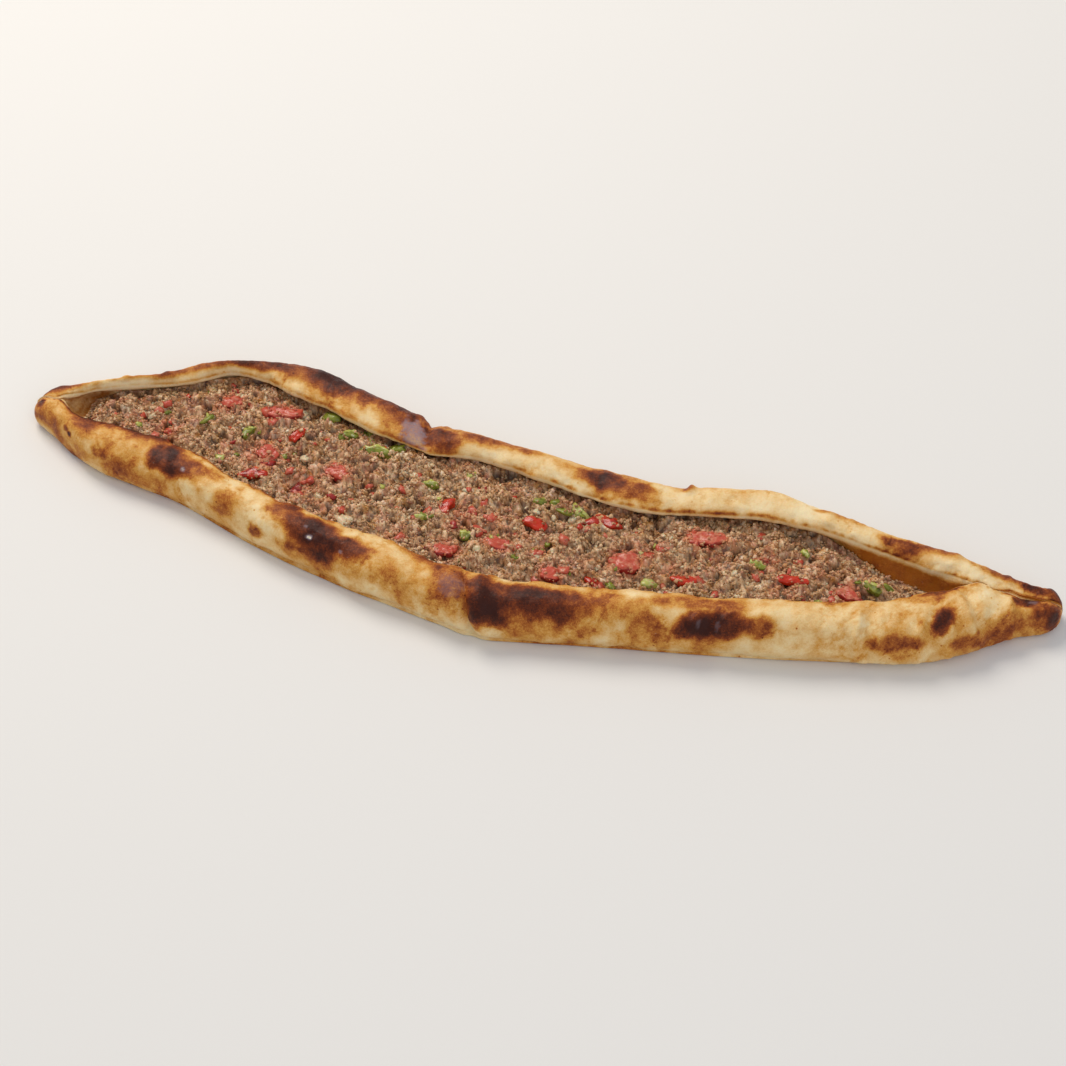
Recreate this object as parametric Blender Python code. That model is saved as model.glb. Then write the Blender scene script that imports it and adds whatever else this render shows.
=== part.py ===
# A turkish pide: a long boat of baked dough, its sides folded in over a filling of minced meat, with pieces
# of tomato and pepper pressed into the meat.
# +X runs along the boat, +Y to its far side, +Z up. It rests on its flat underside at Z = 0.
# Lengths below are in millimetres, and MM turns them to metres where a mesh is made.
import math

import bmesh
import bpy
from mathutils import Matrix, Vector, noise

MM = 0.001
GAP = 0.35               # left between pieces that touch

TIP_LEFT = -231.5        # the two ends of the boat
TIP_RIGHT = 231.5
NOSE_LEFT = 12.0         # length over which each end rounds off
NOSE_RIGHT = 8.0
STATION_STEP = 9.3       # longest distance between two sections of the loft
STATION_NEAREST = 1.6    # and the shortest
NOSE_ANGLES = (14, 32, 52, 74)                  # degrees round each end at which a section stands
CREASE_STATIONS = (-2.2, -1.1, 0.0, 1.1, 2.2)   # sections across a crease, in half widths

# The boat seen from above, as (x, y): its outer edge on each side, then the edge of each folded flap.
EDGE_NEAR = [
    (-232, 4), (-222, 4), (-205, -7), (-180, -16), (-150, -22), (-105, -38), (-60, -51), (-20, -59), (-3, -63),
    (15, -60), (55, -53), (110, -43), (165, -32), (190, -22), (205, -12), (213, -4), (222, 1.5), (232, 6),
]
EDGE_FAR = [
    (-232, 27), (-222, 27), (-205, 31), (-180, 41), (-164, 52), (-148, 57), (-130, 63), (-112, 62), (-90, 57),
    (-52, 47), (-15, 41.5), (25, 38), (60, 36), (85, 40), (105, 42), (135, 35.5), (165, 29), (190, 25),
    (212, 22.5), (232, 20),
]
LIP_NEAR = [
    (-228, 17), (-219, 15), (-208, 8), (-195, 6), (-165, 2), (-150, -1), (-120, -14), (-90, -24), (-52, -31),
    (-15, -39.5), (-3, -41), (25, -37), (70, -29.5), (110, -23.5), (150, -13), (180, 1), (198, 10), (214, 11),
]
LIP_FAR = [
    (-228, 18), (-219, 18.5), (-208, 25), (-195, 29), (-165, 40), (-150, 50), (-135, 49.5), (-105, 40.5),
    (-52, 25.5), (-30, 28), (-3, 23.5), (25, 17.5), (48, 15), (70, 19), (110, 24), (150, 19.5), (180, 14),
    (198, 11), (214, 12),
]

# Height of each rim's crest along the boat.
RIM_NEAR = [
    (-232, 13), (-205, 17), (-150, 18.5), (-50, 20), (110, 20.5), (195, 19), (215, 14.5), (232, 13),
]
RIM_FAR = [
    (-232, 13), (-205, 17), (-150, 20), (-100, 21), (-50, 19), (60, 19), (110, 20.5), (195, 17), (215, 15),
    (232, 13),
]
FLOOR = 4.0              # thickness of the dough under the filling
SOLID_GAP = 1.0          # distance between the flaps below which the end is pinched shut
OPEN_GAP = 16.0          # and above which the hollow has its full depth

# Half of a section, as (share of the flap's width, share of the rim's height), from the foot up over the crest.
OUTSIDE = [
    (0.26, 0.0), (0.10, 0.07), (0.02, 0.20), (0.0, 0.40), (0.03, 0.60), (0.10, 0.78), (0.22, 0.91),
    (0.38, 0.985), (0.52, 1.0), (0.68, 0.98), (0.83, 0.93), (0.95, 0.85), (1.0, 0.76),
]
INSIDE = [(0.94, 0.67), (0.64, 0.62), (0.45, 0.42), (0.48, None)]   # under the flap, down to the floor
# The same four points where a flap stands up, as (distance past the lip, share of the rim's height).
LEANING = [(0.6, 0.62), (1.6, 0.50), (3.6, 0.34), (6.5, None)]
LEAN_START = 116.0       # the far flap stands up from here on
LEAN_FULL = 160.0
CREST = 0.52             # the share of the flap's width at which the crest stands
SEAM_HALF = 0.6          # half the width of the groove along a pinched end
SEAM_STEP = 0.4          # how far each inner point lies below the last one in that groove
SEAM_TAPER = 0.16        # and the share by which the groove narrows at each of them
PINCHED_FALL = 0.5       # share of the fall from crest to lip that is left on a pinched end
NOSE_HEIGHT = 0.42       # share of the rims' height towards which each end rounds off

# The uneven surface, as (how far it wanders, over what length).
SIDE_UNEVEN = (1.6, 24.0)
TOP_UNEVEN = (1.5, 21.0)
FILLING_UNEVEN = (2.2, 13.0)
PIECE_UNEVEN = (0.09, 0.59)   # as shares of a piece's half size
SIDE_APART = 9.0         # how far apart the two sides lie in the noise, so that they differ
FILLING_SPREAD = 60.0    # width over which the noise runs across the filling

# Where the dough is creased across a side: x at the foot, x at the crest, side, half width, depth.
CREASES = [(-3.0, -10.0, -1, 3.2, 3.0), (-53.0, -52.0, 1, 3.5, 2.6)]
CREASE_FALL = 0.5        # how far a crease lowers the crest, for each part it draws the side in

FILLING_LEFT = -207.0
FILLING_RIGHT = 176.0
FILLING_TOP = 12.2       # height of the filling along its middle
FILLING_EDGE = 1.3       # how much lower it lies along the lips
FILLING_DROP = 4.0       # how much lower it lies against the standing flap
FILLING_FADE_LEFT = 14.0  # length over which the filling thins out at each end
FILLING_FADE_RIGHT = 28.0
FILLING_END = 1.2        # its thickness at the very end
FILLING_POINT = 0.6      # length of the point that closes each end
WALL_GAP = 1.3 * GAP     # from the filling to the crust's inner walls
MIDDLE_LEVEL = 0.55      # share of the way up at which its sides have their middle point
TOP_INSET = 1.5          # how far its top surface starts inside its sides
TOP_LEAST = 1.0          # and how far inside them at the least, where a lip lies further out
TOP_SHARES = [0.0, 0.16, 0.33, 0.5, 0.67, 0.84, 1.0]   # where its top surface has points, lip to lip

# Pieces in the filling: name, x, y, length, depth, height, turn in degrees, and bend, which is the radius of
# the curl, or 0 for a straight piece.
TOMATO = [
    ("tomato_1", -119, 34.5, 16.0, 8.0, 6.0, 8, 0), ("tomato_2", -144, 35, 10.5, 7.5, 5.0, 30, 0),
    ("tomato_3", -84, 5.5, 11.0, 8.5, 5.5, -20, 0), ("tomato_4", 79.5, 9, 18.5, 9.0, 6.0, 12, 0),
    ("tomato_5", -5, -18, 12.0, 7.5, 5.0, 0, 0), ("tomato_6", 21.5, -28.5, 10.5, 8.0, 5.0, 25, 0),
    ("tomato_7", 50, -14, 13.5, 11.0, 6.5, 15, 0), ("tomato_8", -26, -25.5, 11.0, 7.0, 4.5, 10, 0),
    ("tomato_9", 144, -6, 9.5, 7.0, 5.0, -15, 0), ("tomato_10", -118, 9, 9.0, 8.0, 4.5, 0, 0),
]
RED_PEPPER = [
    ("red_pepper_1", 34.5, 8, 18.5, 6.5, 6.0, 8, 12), ("red_pepper_2", 7.5, -2, 12.0, 5.5, 5.0, -10, 14),
    ("red_pepper_3", -120, -4.5, 13.0, 5.0, 4.5, 14, 16), ("red_pepper_4", -33, -1.5, 11.0, 5.0, 4.5, 75, 10),
    ("red_pepper_5", -109, 22.5, 8.0, 5.5, 4.5, 60, 9), ("red_pepper_6", 76.5, -17, 11.0, 6.0, 4.0, 5, 15),
    ("red_pepper_7", 119.5, -4, 13.0, 4.5, 4.0, 10, 20), ("red_pepper_8", 39, -27, 6.5, 6.0, 4.5, 0, 9),
]
GREEN_PEPPER = [
    ("green_pepper_1", -73, 23.5, 21.0, 5.0, 6.0, 6, 16), ("green_pepper_2", -87, 29.5, 10.0, 5.0, 4.5, 20, 14),
    ("green_pepper_3", -131, 19, 11.0, 4.5, 5.5, 70, 6), ("green_pepper_4", 153, 1.5, 12.0, 5.0, 6.0, -25, 7),
    ("green_pepper_5", 5.5, 12.5, 7.0, 5.0, 7.0, 60, 8), ("green_pepper_6", 17.5, 9.5, 8.0, 4.5, 5.0, -20, 12),
    ("green_pepper_7", -43.5, 9.5, 8.0, 4.0, 4.0, 10, 14), ("green_pepper_8", -20, -16, 6.0, 5.5, 4.0, 0, 9),
    ("green_pepper_9", 104, 0, 8.5, 4.5, 4.0, -10, 14),
]
SUNK = 0.5               # share of a piece's height that lies below the filling's surface

DOUGH = ("baked_dough", (0.62, 0.33, 0.12), 0.6)
MEAT = ("minced_meat", (0.30, 0.16, 0.09), 0.5)
TOMATO_FLESH = ("tomato_flesh", (0.60, 0.09, 0.04), 0.25)
RED_FLESH = ("red_pepper_flesh", (0.70, 0.12, 0.03), 0.3)
GREEN_FLESH = ("green_pepper_flesh", (0.33, 0.36, 0.06), 0.3)


def clear_scene():
    for old in list(bpy.data.objects):
        bpy.data.objects.remove(old, do_unlink=True)


def new_collection(name):
    made = bpy.data.collections.new(name)
    bpy.context.scene.collection.children.link(made)
    return made


def new_material(name, colour, roughness):
    made = bpy.data.materials.new(name)
    made.use_nodes = True
    shader = made.node_tree.nodes["Principled BSDF"]
    shader.inputs["Base Color"].default_value = (*colour, 1.0)
    shader.inputs["Roughness"].default_value = roughness
    shader.inputs["Metallic"].default_value = 0.0
    return made


def mix(a, b, share):
    return a + (b - a) * share


def ease(value):
    held = min(1.0, max(0.0, value))
    return held * held * (3.0 - 2.0 * held)


# A smooth curve through (x, y) points: cubic pieces whose slopes are those between the neighbours.
def along(points, x):
    last = len(points) - 1
    x = min(max(x, points[0][0]), points[last][0])
    i = 0
    while i < last - 1 and x > points[i + 1][0]:
        i += 1
    before, start = points[max(i - 1, 0)], points[i]
    end, after = points[i + 1], points[min(i + 2, last)]
    span = end[0] - start[0]
    t = (x - start[0]) / span
    slope_in = (end[1] - before[1]) / (end[0] - before[0]) * span
    slope_out = (after[1] - start[1]) / (after[0] - start[0]) * span
    ahead = t * t * (3.0 - 2.0 * t)
    return mix(start[1], end[1], ahead) + slope_in * t * (1.0 - t) ** 2 - slope_out * t * t * (1.0 - t)


def uneven(x, y, z, size, over):
    return size * noise.noise(Vector((x / over, y / over, z / over)))


def between(a, b):
    return ((a[0] + b[0]) / 2.0, (a[1] + b[1]) / 2.0)


# How far the end is rounded off at x: 1 along the boat, towards 0 at a tip.
def nose_round(x):
    left = min(1.0, (x - TIP_LEFT) / NOSE_LEFT)
    right = min(1.0, (TIP_RIGHT - x) / NOSE_RIGHT)
    inward = 1.0 - min(left, right)
    return math.sqrt(max(0.0, 1.0 - inward * inward))


# The dent of a crease at a point of a side, as a share of the crease's depth.
def crease_depth(x, side, height_share):
    depth = 0.0
    for foot_x, crest_x, crease_side, half, deep in CREASES:
        if side != crease_side:
            continue
        away = (x - mix(foot_x, crest_x, height_share)) / half
        depth += deep * math.exp(-away * away)
    return depth


# The numbers that a section is made from at x: both edges, both lips, both rims, and how open it is.
def measures(x):
    near, far = along(EDGE_NEAR, x), along(EDGE_FAR, x)
    lip_near, lip_far = along(LIP_NEAR, x), along(LIP_FAR, x)
    seam = (lip_near + lip_far) / 2.0
    open_share = ease((lip_far - lip_near - SOLID_GAP) / (OPEN_GAP - SOLID_GAP))
    lip_near = min(lip_near, seam - SEAM_HALF)
    lip_far = max(lip_far, seam + SEAM_HALF)
    return near, far, lip_near, lip_far, along(RIM_NEAR, x), along(RIM_FAR, x), seam, open_share


# One side of the crust's section, from its foot to its floor corner, as (y, z).
def side_section(x, side, edge, lip, rim, seam, open_share):
    width = lip - edge
    points = []
    for share, height_share in OUTSIDE:
        fall = 1.0 - height_share
        if share > CREST:
            fall *= mix(PINCHED_FALL, 1.0, open_share)
        y = edge + width * share
        z = rim * (1.0 - fall)
        if height_share > 0.0:
            dent = crease_depth(x, side, height_share) * (1.0 - share)
            y -= side * (dent + uneven(x, y, z, *SIDE_UNEVEN) * (1.0 - share))
            z += height_share * (uneven(x, y, SIDE_APART * side, *TOP_UNEVEN) - CREASE_FALL * dent)
        points.append((y, z))
    lip_height = points[-1][1]
    lean = ease((x - LEAN_START) / (LEAN_FULL - LEAN_START)) if side > 0 else 0.0
    for step, (under, leaning) in enumerate(zip(INSIDE, LEANING), 1):
        open_y = mix(edge + width * under[0], lip - side * leaning[0], lean)
        open_z = FLOOR if under[1] is None else rim * mix(under[1], leaning[1], lean)
        shut_y = seam + side * SEAM_HALF * (1.0 - SEAM_TAPER * step)
        y = mix(shut_y, open_y, open_share)
        z = mix(lip_height - SEAM_STEP * step, open_z, open_share)
        points.append((y, z))
    return points


# The crust's whole section at x, round from the middle of its underside.
def crust_ring(x):
    near, far, lip_near, lip_far, rim_near, rim_far, seam, open_share = measures(x)
    near_side = side_section(x, -1, near, lip_near, rim_near, seam, open_share)
    far_side = side_section(x, 1, far, lip_far, rim_far, seam, open_share)
    middle = (near + far) / 2.0
    ring = [(middle, 0.0)] + near_side + [between(near_side[-1], far_side[-1])] + far_side[::-1]
    scale = nose_round(x)
    centre = NOSE_HEIGHT * (rim_near + rim_far) / 2.0
    return [(mix(middle, y, scale), mix(centre, z, scale)) for y, z in ring]


def filling_height(x, across):
    left = ease((x - FILLING_LEFT) / FILLING_FADE_LEFT)
    right = ease((FILLING_RIGHT - x) / FILLING_FADE_RIGHT)
    fade = min(left, right)
    edge = FILLING_EDGE * abs(2.0 * across - 1.0) ** 3
    drop = FILLING_DROP * ease((x - LEAN_START) / (LEAN_FULL - LEAN_START)) * across ** 3
    full = FILLING_TOP - edge - drop + uneven(x, FILLING_SPREAD * across, 5.0, *FILLING_UNEVEN)
    return mix(FLOOR + GAP + FILLING_END, full, fade)


# Where a section's inner wall stands at height z: its points run from under the lip down to the floor.
def wall_at(inner, z):
    for upper, lower in zip(inner, inner[1:]):
        if z >= lower[1]:
            return mix(lower[0], upper[0], min(1.0, (z - lower[1]) / (upper[1] - lower[1])))
    return inner[-1][0]


# The filling's section at x, inside the crust's hollow with a gap all round, up to its own top.
def filling_ring(x):
    near, far, lip_near, lip_far, rim_near, rim_far, seam, open_share = measures(x)
    sides = []
    for side, edge, lip, rim in ((-1, near, lip_near, rim_near), (1, far, lip_far, rim_far)):
        inner = side_section(x, side, edge, lip, rim, seam, open_share)[len(OUTSIDE):]
        bottom = inner[-1][1] + GAP
        top = min(filling_height(x, 0.0 if side < 0 else 1.0), inner[1][1] - 2.0 * GAP)
        levels = [bottom, mix(bottom, top, MIDDLE_LEVEL), top]
        sides.append([(wall_at(inner, level) - side * WALL_GAP, level) for level in levels])
    near_side, far_side = sides
    start, end = near_side[-1], far_side[-1]
    top = []
    for share in TOP_SHARES:
        first, last = max(lip_near, start[0] + TOP_LEAST), min(lip_far, end[0] - TOP_LEAST)
        y = mix(first, last, share) + TOP_INSET * (1.0 - 2.0 * share)
        top.append((y, filling_height(x, share)))
    return [between(near_side[0], far_side[0])] + near_side + top + far_side[::-1]


# Where the sections stand: an even spacing, closer at the tips and over the creases, with the filling's
# ends in.
def stations():
    count = math.ceil((TIP_RIGHT - TIP_LEFT) / STATION_STEP)
    places = [mix(TIP_LEFT, TIP_RIGHT, i / count) for i in range(2, count - 1)]
    for tip, nose, way in ((TIP_LEFT, NOSE_LEFT, 1), (TIP_RIGHT, NOSE_RIGHT, -1)):
        places += [tip + way * nose * (1.0 - math.cos(math.radians(angle))) for angle in NOSE_ANGLES]
    for foot_x, crest_x, _, half, _ in CREASES:
        middle = (foot_x + crest_x) / 2.0
        places += [middle + half * step for step in CREASE_STATIONS]
    fixed = (FILLING_LEFT, FILLING_RIGHT)
    kept = []
    for place in sorted(places + list(fixed)):
        if kept and place - kept[-1] < STATION_NEAREST:
            if place in fixed:
                kept[-1] = place
            continue
        kept.append(place)
    return kept


# A closed loft: the rings joined one to the next, and each end drawn to a point.
def loft(name, rings, tips):
    bm = bmesh.new()
    rows = [[bm.verts.new((x * MM, y * MM, z * MM)) for y, z in ring] for x, ring in rings]
    count = len(rows[0])
    for this, after in zip(rows, rows[1:]):
        for i in range(count):
            j = (i + 1) % count
            bm.faces.new((this[i], this[j], after[j], after[i]))
    for row, tip in ((rows[0], tips[0]), (rows[-1], tips[1])):
        point = bm.verts.new([value * MM for value in tip])
        for i in range(count):
            bm.faces.new((row[i], row[(i + 1) % count], point))
    bmesh.ops.triangulate(bm, faces=bm.faces[:])
    bmesh.ops.recalc_face_normals(bm, faces=bm.faces[:])
    return finish_mesh(name, bm)


def finish_mesh(name, bm):
    mesh = bpy.data.meshes.new(name)
    bm.to_mesh(mesh)
    bm.free()
    mesh.shade_smooth()
    mesh.set_sharp_from_angle(angle=math.radians(50))
    return mesh


def add_object(name, mesh, collection, material):
    made = bpy.data.objects.new(name, mesh)
    collection.objects.link(made)
    mesh.materials.append(material)
    return made


def centre_of(ring):
    return sum(y for y, _ in ring) / len(ring), sum(z for _, z in ring) / len(ring)


def make_crust(places, collection):
    rings = [(x, crust_ring(x)) for x in places]
    first, last = centre_of(rings[0][1]), centre_of(rings[-1][1])
    mesh = loft("crust", rings, ((TIP_LEFT, *first), (TIP_RIGHT, *last)))
    return add_object("crust", mesh, collection, new_material(*DOUGH))


def make_filling(places, collection, cutters):
    rings = [(x, filling_ring(x)) for x in places if FILLING_LEFT <= x <= FILLING_RIGHT]
    first, last = centre_of(rings[0][1]), centre_of(rings[-1][1])
    tips = ((FILLING_LEFT - FILLING_POINT, *first), (FILLING_RIGHT + FILLING_POINT, *last))
    mesh = loft("filling", rings, tips)
    made = add_object("filling", mesh, collection, new_material(*MEAT))
    pockets = made.modifiers.new("pockets", "BOOLEAN")
    pockets.operation = "DIFFERENCE"
    pockets.operand_type = "COLLECTION"
    pockets.collection = cutters
    pockets.solver = "EXACT"
    return made


# A cut piece: a ball pressed towards a box, with uneven faces, bent along its length, and grown by `more`
# all round.
def piece_mesh(name, length, depth, height, bend, more, boxy):
    bm = bmesh.new()
    bmesh.ops.create_icosphere(bm, subdivisions=2, radius=1.0)
    half = Vector((length / 2.0 + more, depth / 2.0 + more, height / 2.0 + more))
    for vert in bm.verts:
        p = vert.co.copy()
        p *= mix(1.0, 1.0 / max(abs(p.x), abs(p.y), abs(p.z)), boxy)
        p *= 1.0 + PIECE_UNEVEN[0] * noise.noise(p / PIECE_UNEVEN[1] + Vector((length, depth, height)))
        p = Vector((p.x * half.x, p.y * half.y, p.z * half.z))
        if bend:
            angle = p.x / bend
            reach = bend + p.y
            p = Vector((reach * math.sin(angle), reach * math.cos(angle) - bend, p.z))
        vert.co = p * MM
    bmesh.ops.recalc_face_normals(bm, faces=bm.faces[:])
    return finish_mesh(name, bm)


def make_pieces(rows, look, boxy, collection, cutters):
    material = new_material(*look)
    for name, x, y, length, depth, height, turn, bend in rows:
        _, _, lip_near, lip_far, *_ = measures(x)
        across = (y - lip_near) / (lip_far - lip_near)
        rest = filling_height(x, across) + height * (0.5 - SUNK)
        place = Matrix.Translation(Vector((x, y, rest)) * MM)
        place = place @ Matrix.Rotation(math.radians(turn), 4, "Z")
        mesh = piece_mesh(name, length, depth, height, bend, 0.0, boxy)
        piece = add_object(name, mesh, collection, material)
        piece.matrix_world = place
        mesh = piece_mesh(name, length, depth, height, bend, GAP, boxy)
        cutter = add_object("pocket_" + name, mesh, cutters, material)
        cutter.matrix_world = place
        cutter.hide_render = True
        cutter.display_type = "WIRE"


clear_scene()
pide = new_collection("turkish_pide")
pocket_cutters = new_collection("pocket_cutters")
pocket_cutters.hide_render = True
make_pieces(TOMATO, TOMATO_FLESH, 0.45, pide, pocket_cutters)
make_pieces(RED_PEPPER, RED_FLESH, 0.35, pide, pocket_cutters)
make_pieces(GREEN_PEPPER, GREEN_FLESH, 0.35, pide, pocket_cutters)
section_places = stations()
make_crust(section_places, pide)
make_filling(section_places, pide, pocket_cutters)
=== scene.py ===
# Turkish pide: baked dough folded over minced meat, with tomato and pepper in it; lengths in mm unless noted
import functools
import itertools
import math

import bmesh
import bpy
import numpy as np
from mathutils import Matrix, Vector, noise


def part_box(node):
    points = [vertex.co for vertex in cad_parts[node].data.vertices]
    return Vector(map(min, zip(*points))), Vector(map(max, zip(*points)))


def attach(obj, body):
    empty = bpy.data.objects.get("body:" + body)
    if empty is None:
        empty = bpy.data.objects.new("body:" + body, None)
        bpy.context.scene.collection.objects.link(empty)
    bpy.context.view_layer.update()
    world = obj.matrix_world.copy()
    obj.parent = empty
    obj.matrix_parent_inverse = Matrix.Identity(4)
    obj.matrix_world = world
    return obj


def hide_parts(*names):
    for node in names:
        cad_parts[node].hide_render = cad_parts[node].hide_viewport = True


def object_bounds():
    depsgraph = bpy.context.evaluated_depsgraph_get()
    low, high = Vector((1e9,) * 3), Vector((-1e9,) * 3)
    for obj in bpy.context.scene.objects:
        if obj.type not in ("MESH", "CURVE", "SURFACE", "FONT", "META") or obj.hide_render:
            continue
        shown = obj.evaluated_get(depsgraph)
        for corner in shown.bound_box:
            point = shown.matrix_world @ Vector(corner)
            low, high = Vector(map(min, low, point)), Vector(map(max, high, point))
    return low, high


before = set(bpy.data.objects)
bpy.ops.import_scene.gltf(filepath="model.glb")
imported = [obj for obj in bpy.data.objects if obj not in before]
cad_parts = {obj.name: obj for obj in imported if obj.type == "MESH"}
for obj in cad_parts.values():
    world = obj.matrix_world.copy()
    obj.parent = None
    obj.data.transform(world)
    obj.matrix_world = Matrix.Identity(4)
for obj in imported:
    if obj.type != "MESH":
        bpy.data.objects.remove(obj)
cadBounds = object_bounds()
mm = 0.001
dice = np.random.default_rng(41)
print("frame loaded:", len(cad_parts), "nodes")


def hexColour(code):
    parts = [int(code[i:i + 2], 16) / 255 for i in (1, 3, 5)]
    linear = [c / 12.92 if c <= 0.04045 else ((c + 0.055) / 1.055) ** 2.4 for c in parts]
    return (*linear, 1.0)


# adds a node with its settings and links, and returns one of its outputs;
# the inputs are a dictionary by name or number, or a list in the node's own order
def addNode(tree, kind, settings=None, inputs=(), output=0, stops=()):
    node = tree.nodes.new("ShaderNode" + kind)
    for name, value in (settings or {}).items():
        setattr(node, name, value)
    for name, value in inputs.items() if isinstance(inputs, dict) else enumerate(inputs):
        if isinstance(value, bpy.types.NodeSocket):
            tree.links.new(value, node.inputs[name])
        else:
            node.inputs[name].default_value = hexColour(value) if isinstance(value, str) else value
    for i, (position, code) in enumerate(stops):
        stop = node.color_ramp.elements[i] if i < 2 else node.color_ramp.elements.new(position)
        stop.position = position
        stop.color = hexColour(code)
    return node.outputs[output]


def mix(a, b, share):
    return a + (b - a) * share


def ease(value):
    held = np.clip(value, 0.0, 1.0)
    return held * held * (3.0 - 2.0 * held)


def hill(distance):
    return np.exp(-distance * distance)


# random numbers from 0 to 1 for whole-number cells, the same each run; the big factors only stir the bits
def cellRandom(cells, salt):
    bits = cells[..., 0] * 374761393 + cells[..., 1] * 668265263 + cells[..., 2] * 1274126177
    bits = (bits + salt * 974634777) & 0xFFFFFFFF
    for shift, factor in ((13, 1103515245), (16, 668265263)):
        bits = ((bits ^ (bits >> shift)) * factor) & 0xFFFFFFFF
    return ((bits ^ (bits >> 15)) & 0xFFFFFF) / float(0x1000000)


# rolling noise from about -1 to 1, its lumps `size` mm across
def lumps(points, size, salt):
    scaled = points / size + 11.7 * salt
    cell = np.floor(scaled).astype(np.int64)
    part = scaled - cell
    fade = part ** 3 * (part * (part * 6.0 - 15.0) + 10.0)
    total = np.zeros(len(points))
    for corner in itertools.product((0, 1), repeat=3):
        at = cell + np.array(corner)
        lean = np.stack([cellRandom(at, salt * 3 + k) * 2.0 - 1.0 for k in range(3)], 1)
        weight = np.prod(np.where(np.array(corner) == 1, fade, 1.0 - fade), axis=1)
        total += weight * ((part - np.array(corner)) * lean).sum(1)
    return total * 2.0


# how far points lie from an ellipse's middle, where 1 is its outline
def ellipseReach(points, low, high, wider=0.0):
    middle, half = (low + high) / 2, (high - low) / 2 + wider
    return np.hypot((points[:, 0] - middle[0]) / half[0], (points[:, 1] - middle[1]) / half[1])


# several sizes of lumps together, each given by its height, size in mm and salt
def layered(points, layers):
    return sum(height * lumps(points, size, salt) for height, size, salt in layers)


# grains packed side by side: how far the nearest one's middle is, as a share of size, and its own number
def grains(points, size, salt, wobble=0.9):
    scaled = points / size + 7.3 * salt
    cell = np.floor(scaled).astype(np.int64)
    near = np.full(len(points), 9.0)
    number = np.zeros(len(points))
    for step in itertools.product((-1, 0, 1), repeat=3):
        at = cell + np.array(step)
        spot = at + 0.5 + wobble * (np.stack([cellRandom(at, salt * 5 + k) for k in range(3)], 1) - 0.5)
        away = np.linalg.norm(scaled - spot, axis=1)
        number = np.where(away < near, cellRandom(at, salt * 5 + 4), number)
        near = np.minimum(near, away)
    return near, number


def makePiece(name, points, faces, material, attributes):
    mesh = bpy.data.meshes.new(name)
    mesh.from_pydata((points * mm).tolist(), [], faces.tolist() if hasattr(faces, "tolist") else faces)
    for label, values in attributes.items():
        layer = mesh.attributes.new(label, "FLOAT", "POINT")
        layer.data.foreach_set("value", np.asarray(values, dtype=np.float32))
    mesh.shade_smooth()
    mesh.materials.append(material)
    piece = bpy.data.objects.new(name, mesh)
    bpy.context.scene.collection.objects.link(piece)
    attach(piece, "root")
    return piece


# a surface woven from a grid of points, rows by columns; loop joins the last column to the first
def gridFaces(rows, columns, loop):
    across = columns if loop else columns - 1
    i, j = np.meshgrid(np.arange(rows - 1), np.arange(across), indexing="ij")
    after = (j + 1) % columns
    corners = [i * columns + j, (i + 1) * columns + j, (i + 1) * columns + after, i * columns + after]
    return np.stack(corners, -1).reshape(-1, 4)


# the two fans of triangles that close a looped grid, onto the two points that follow its own
def fanFaces(rows, columns):
    total, last = rows * columns, (rows - 1) * columns
    faces = []
    for j in range(columns):
        after = (j + 1) % columns
        faces.append((total, j, after))
        faces.append((total + 1, last + after, last + j))
    return faces


def gridNormals(grid):
    alongRows = np.gradient(grid, axis=0)
    alongColumns = (np.roll(grid, -1, axis=1) - np.roll(grid, 1, axis=1)) / 2.0
    normals = np.cross(alongRows, alongColumns)
    return normals / np.maximum(np.linalg.norm(normals, axis=2, keepdims=True), 1e-9)


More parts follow.
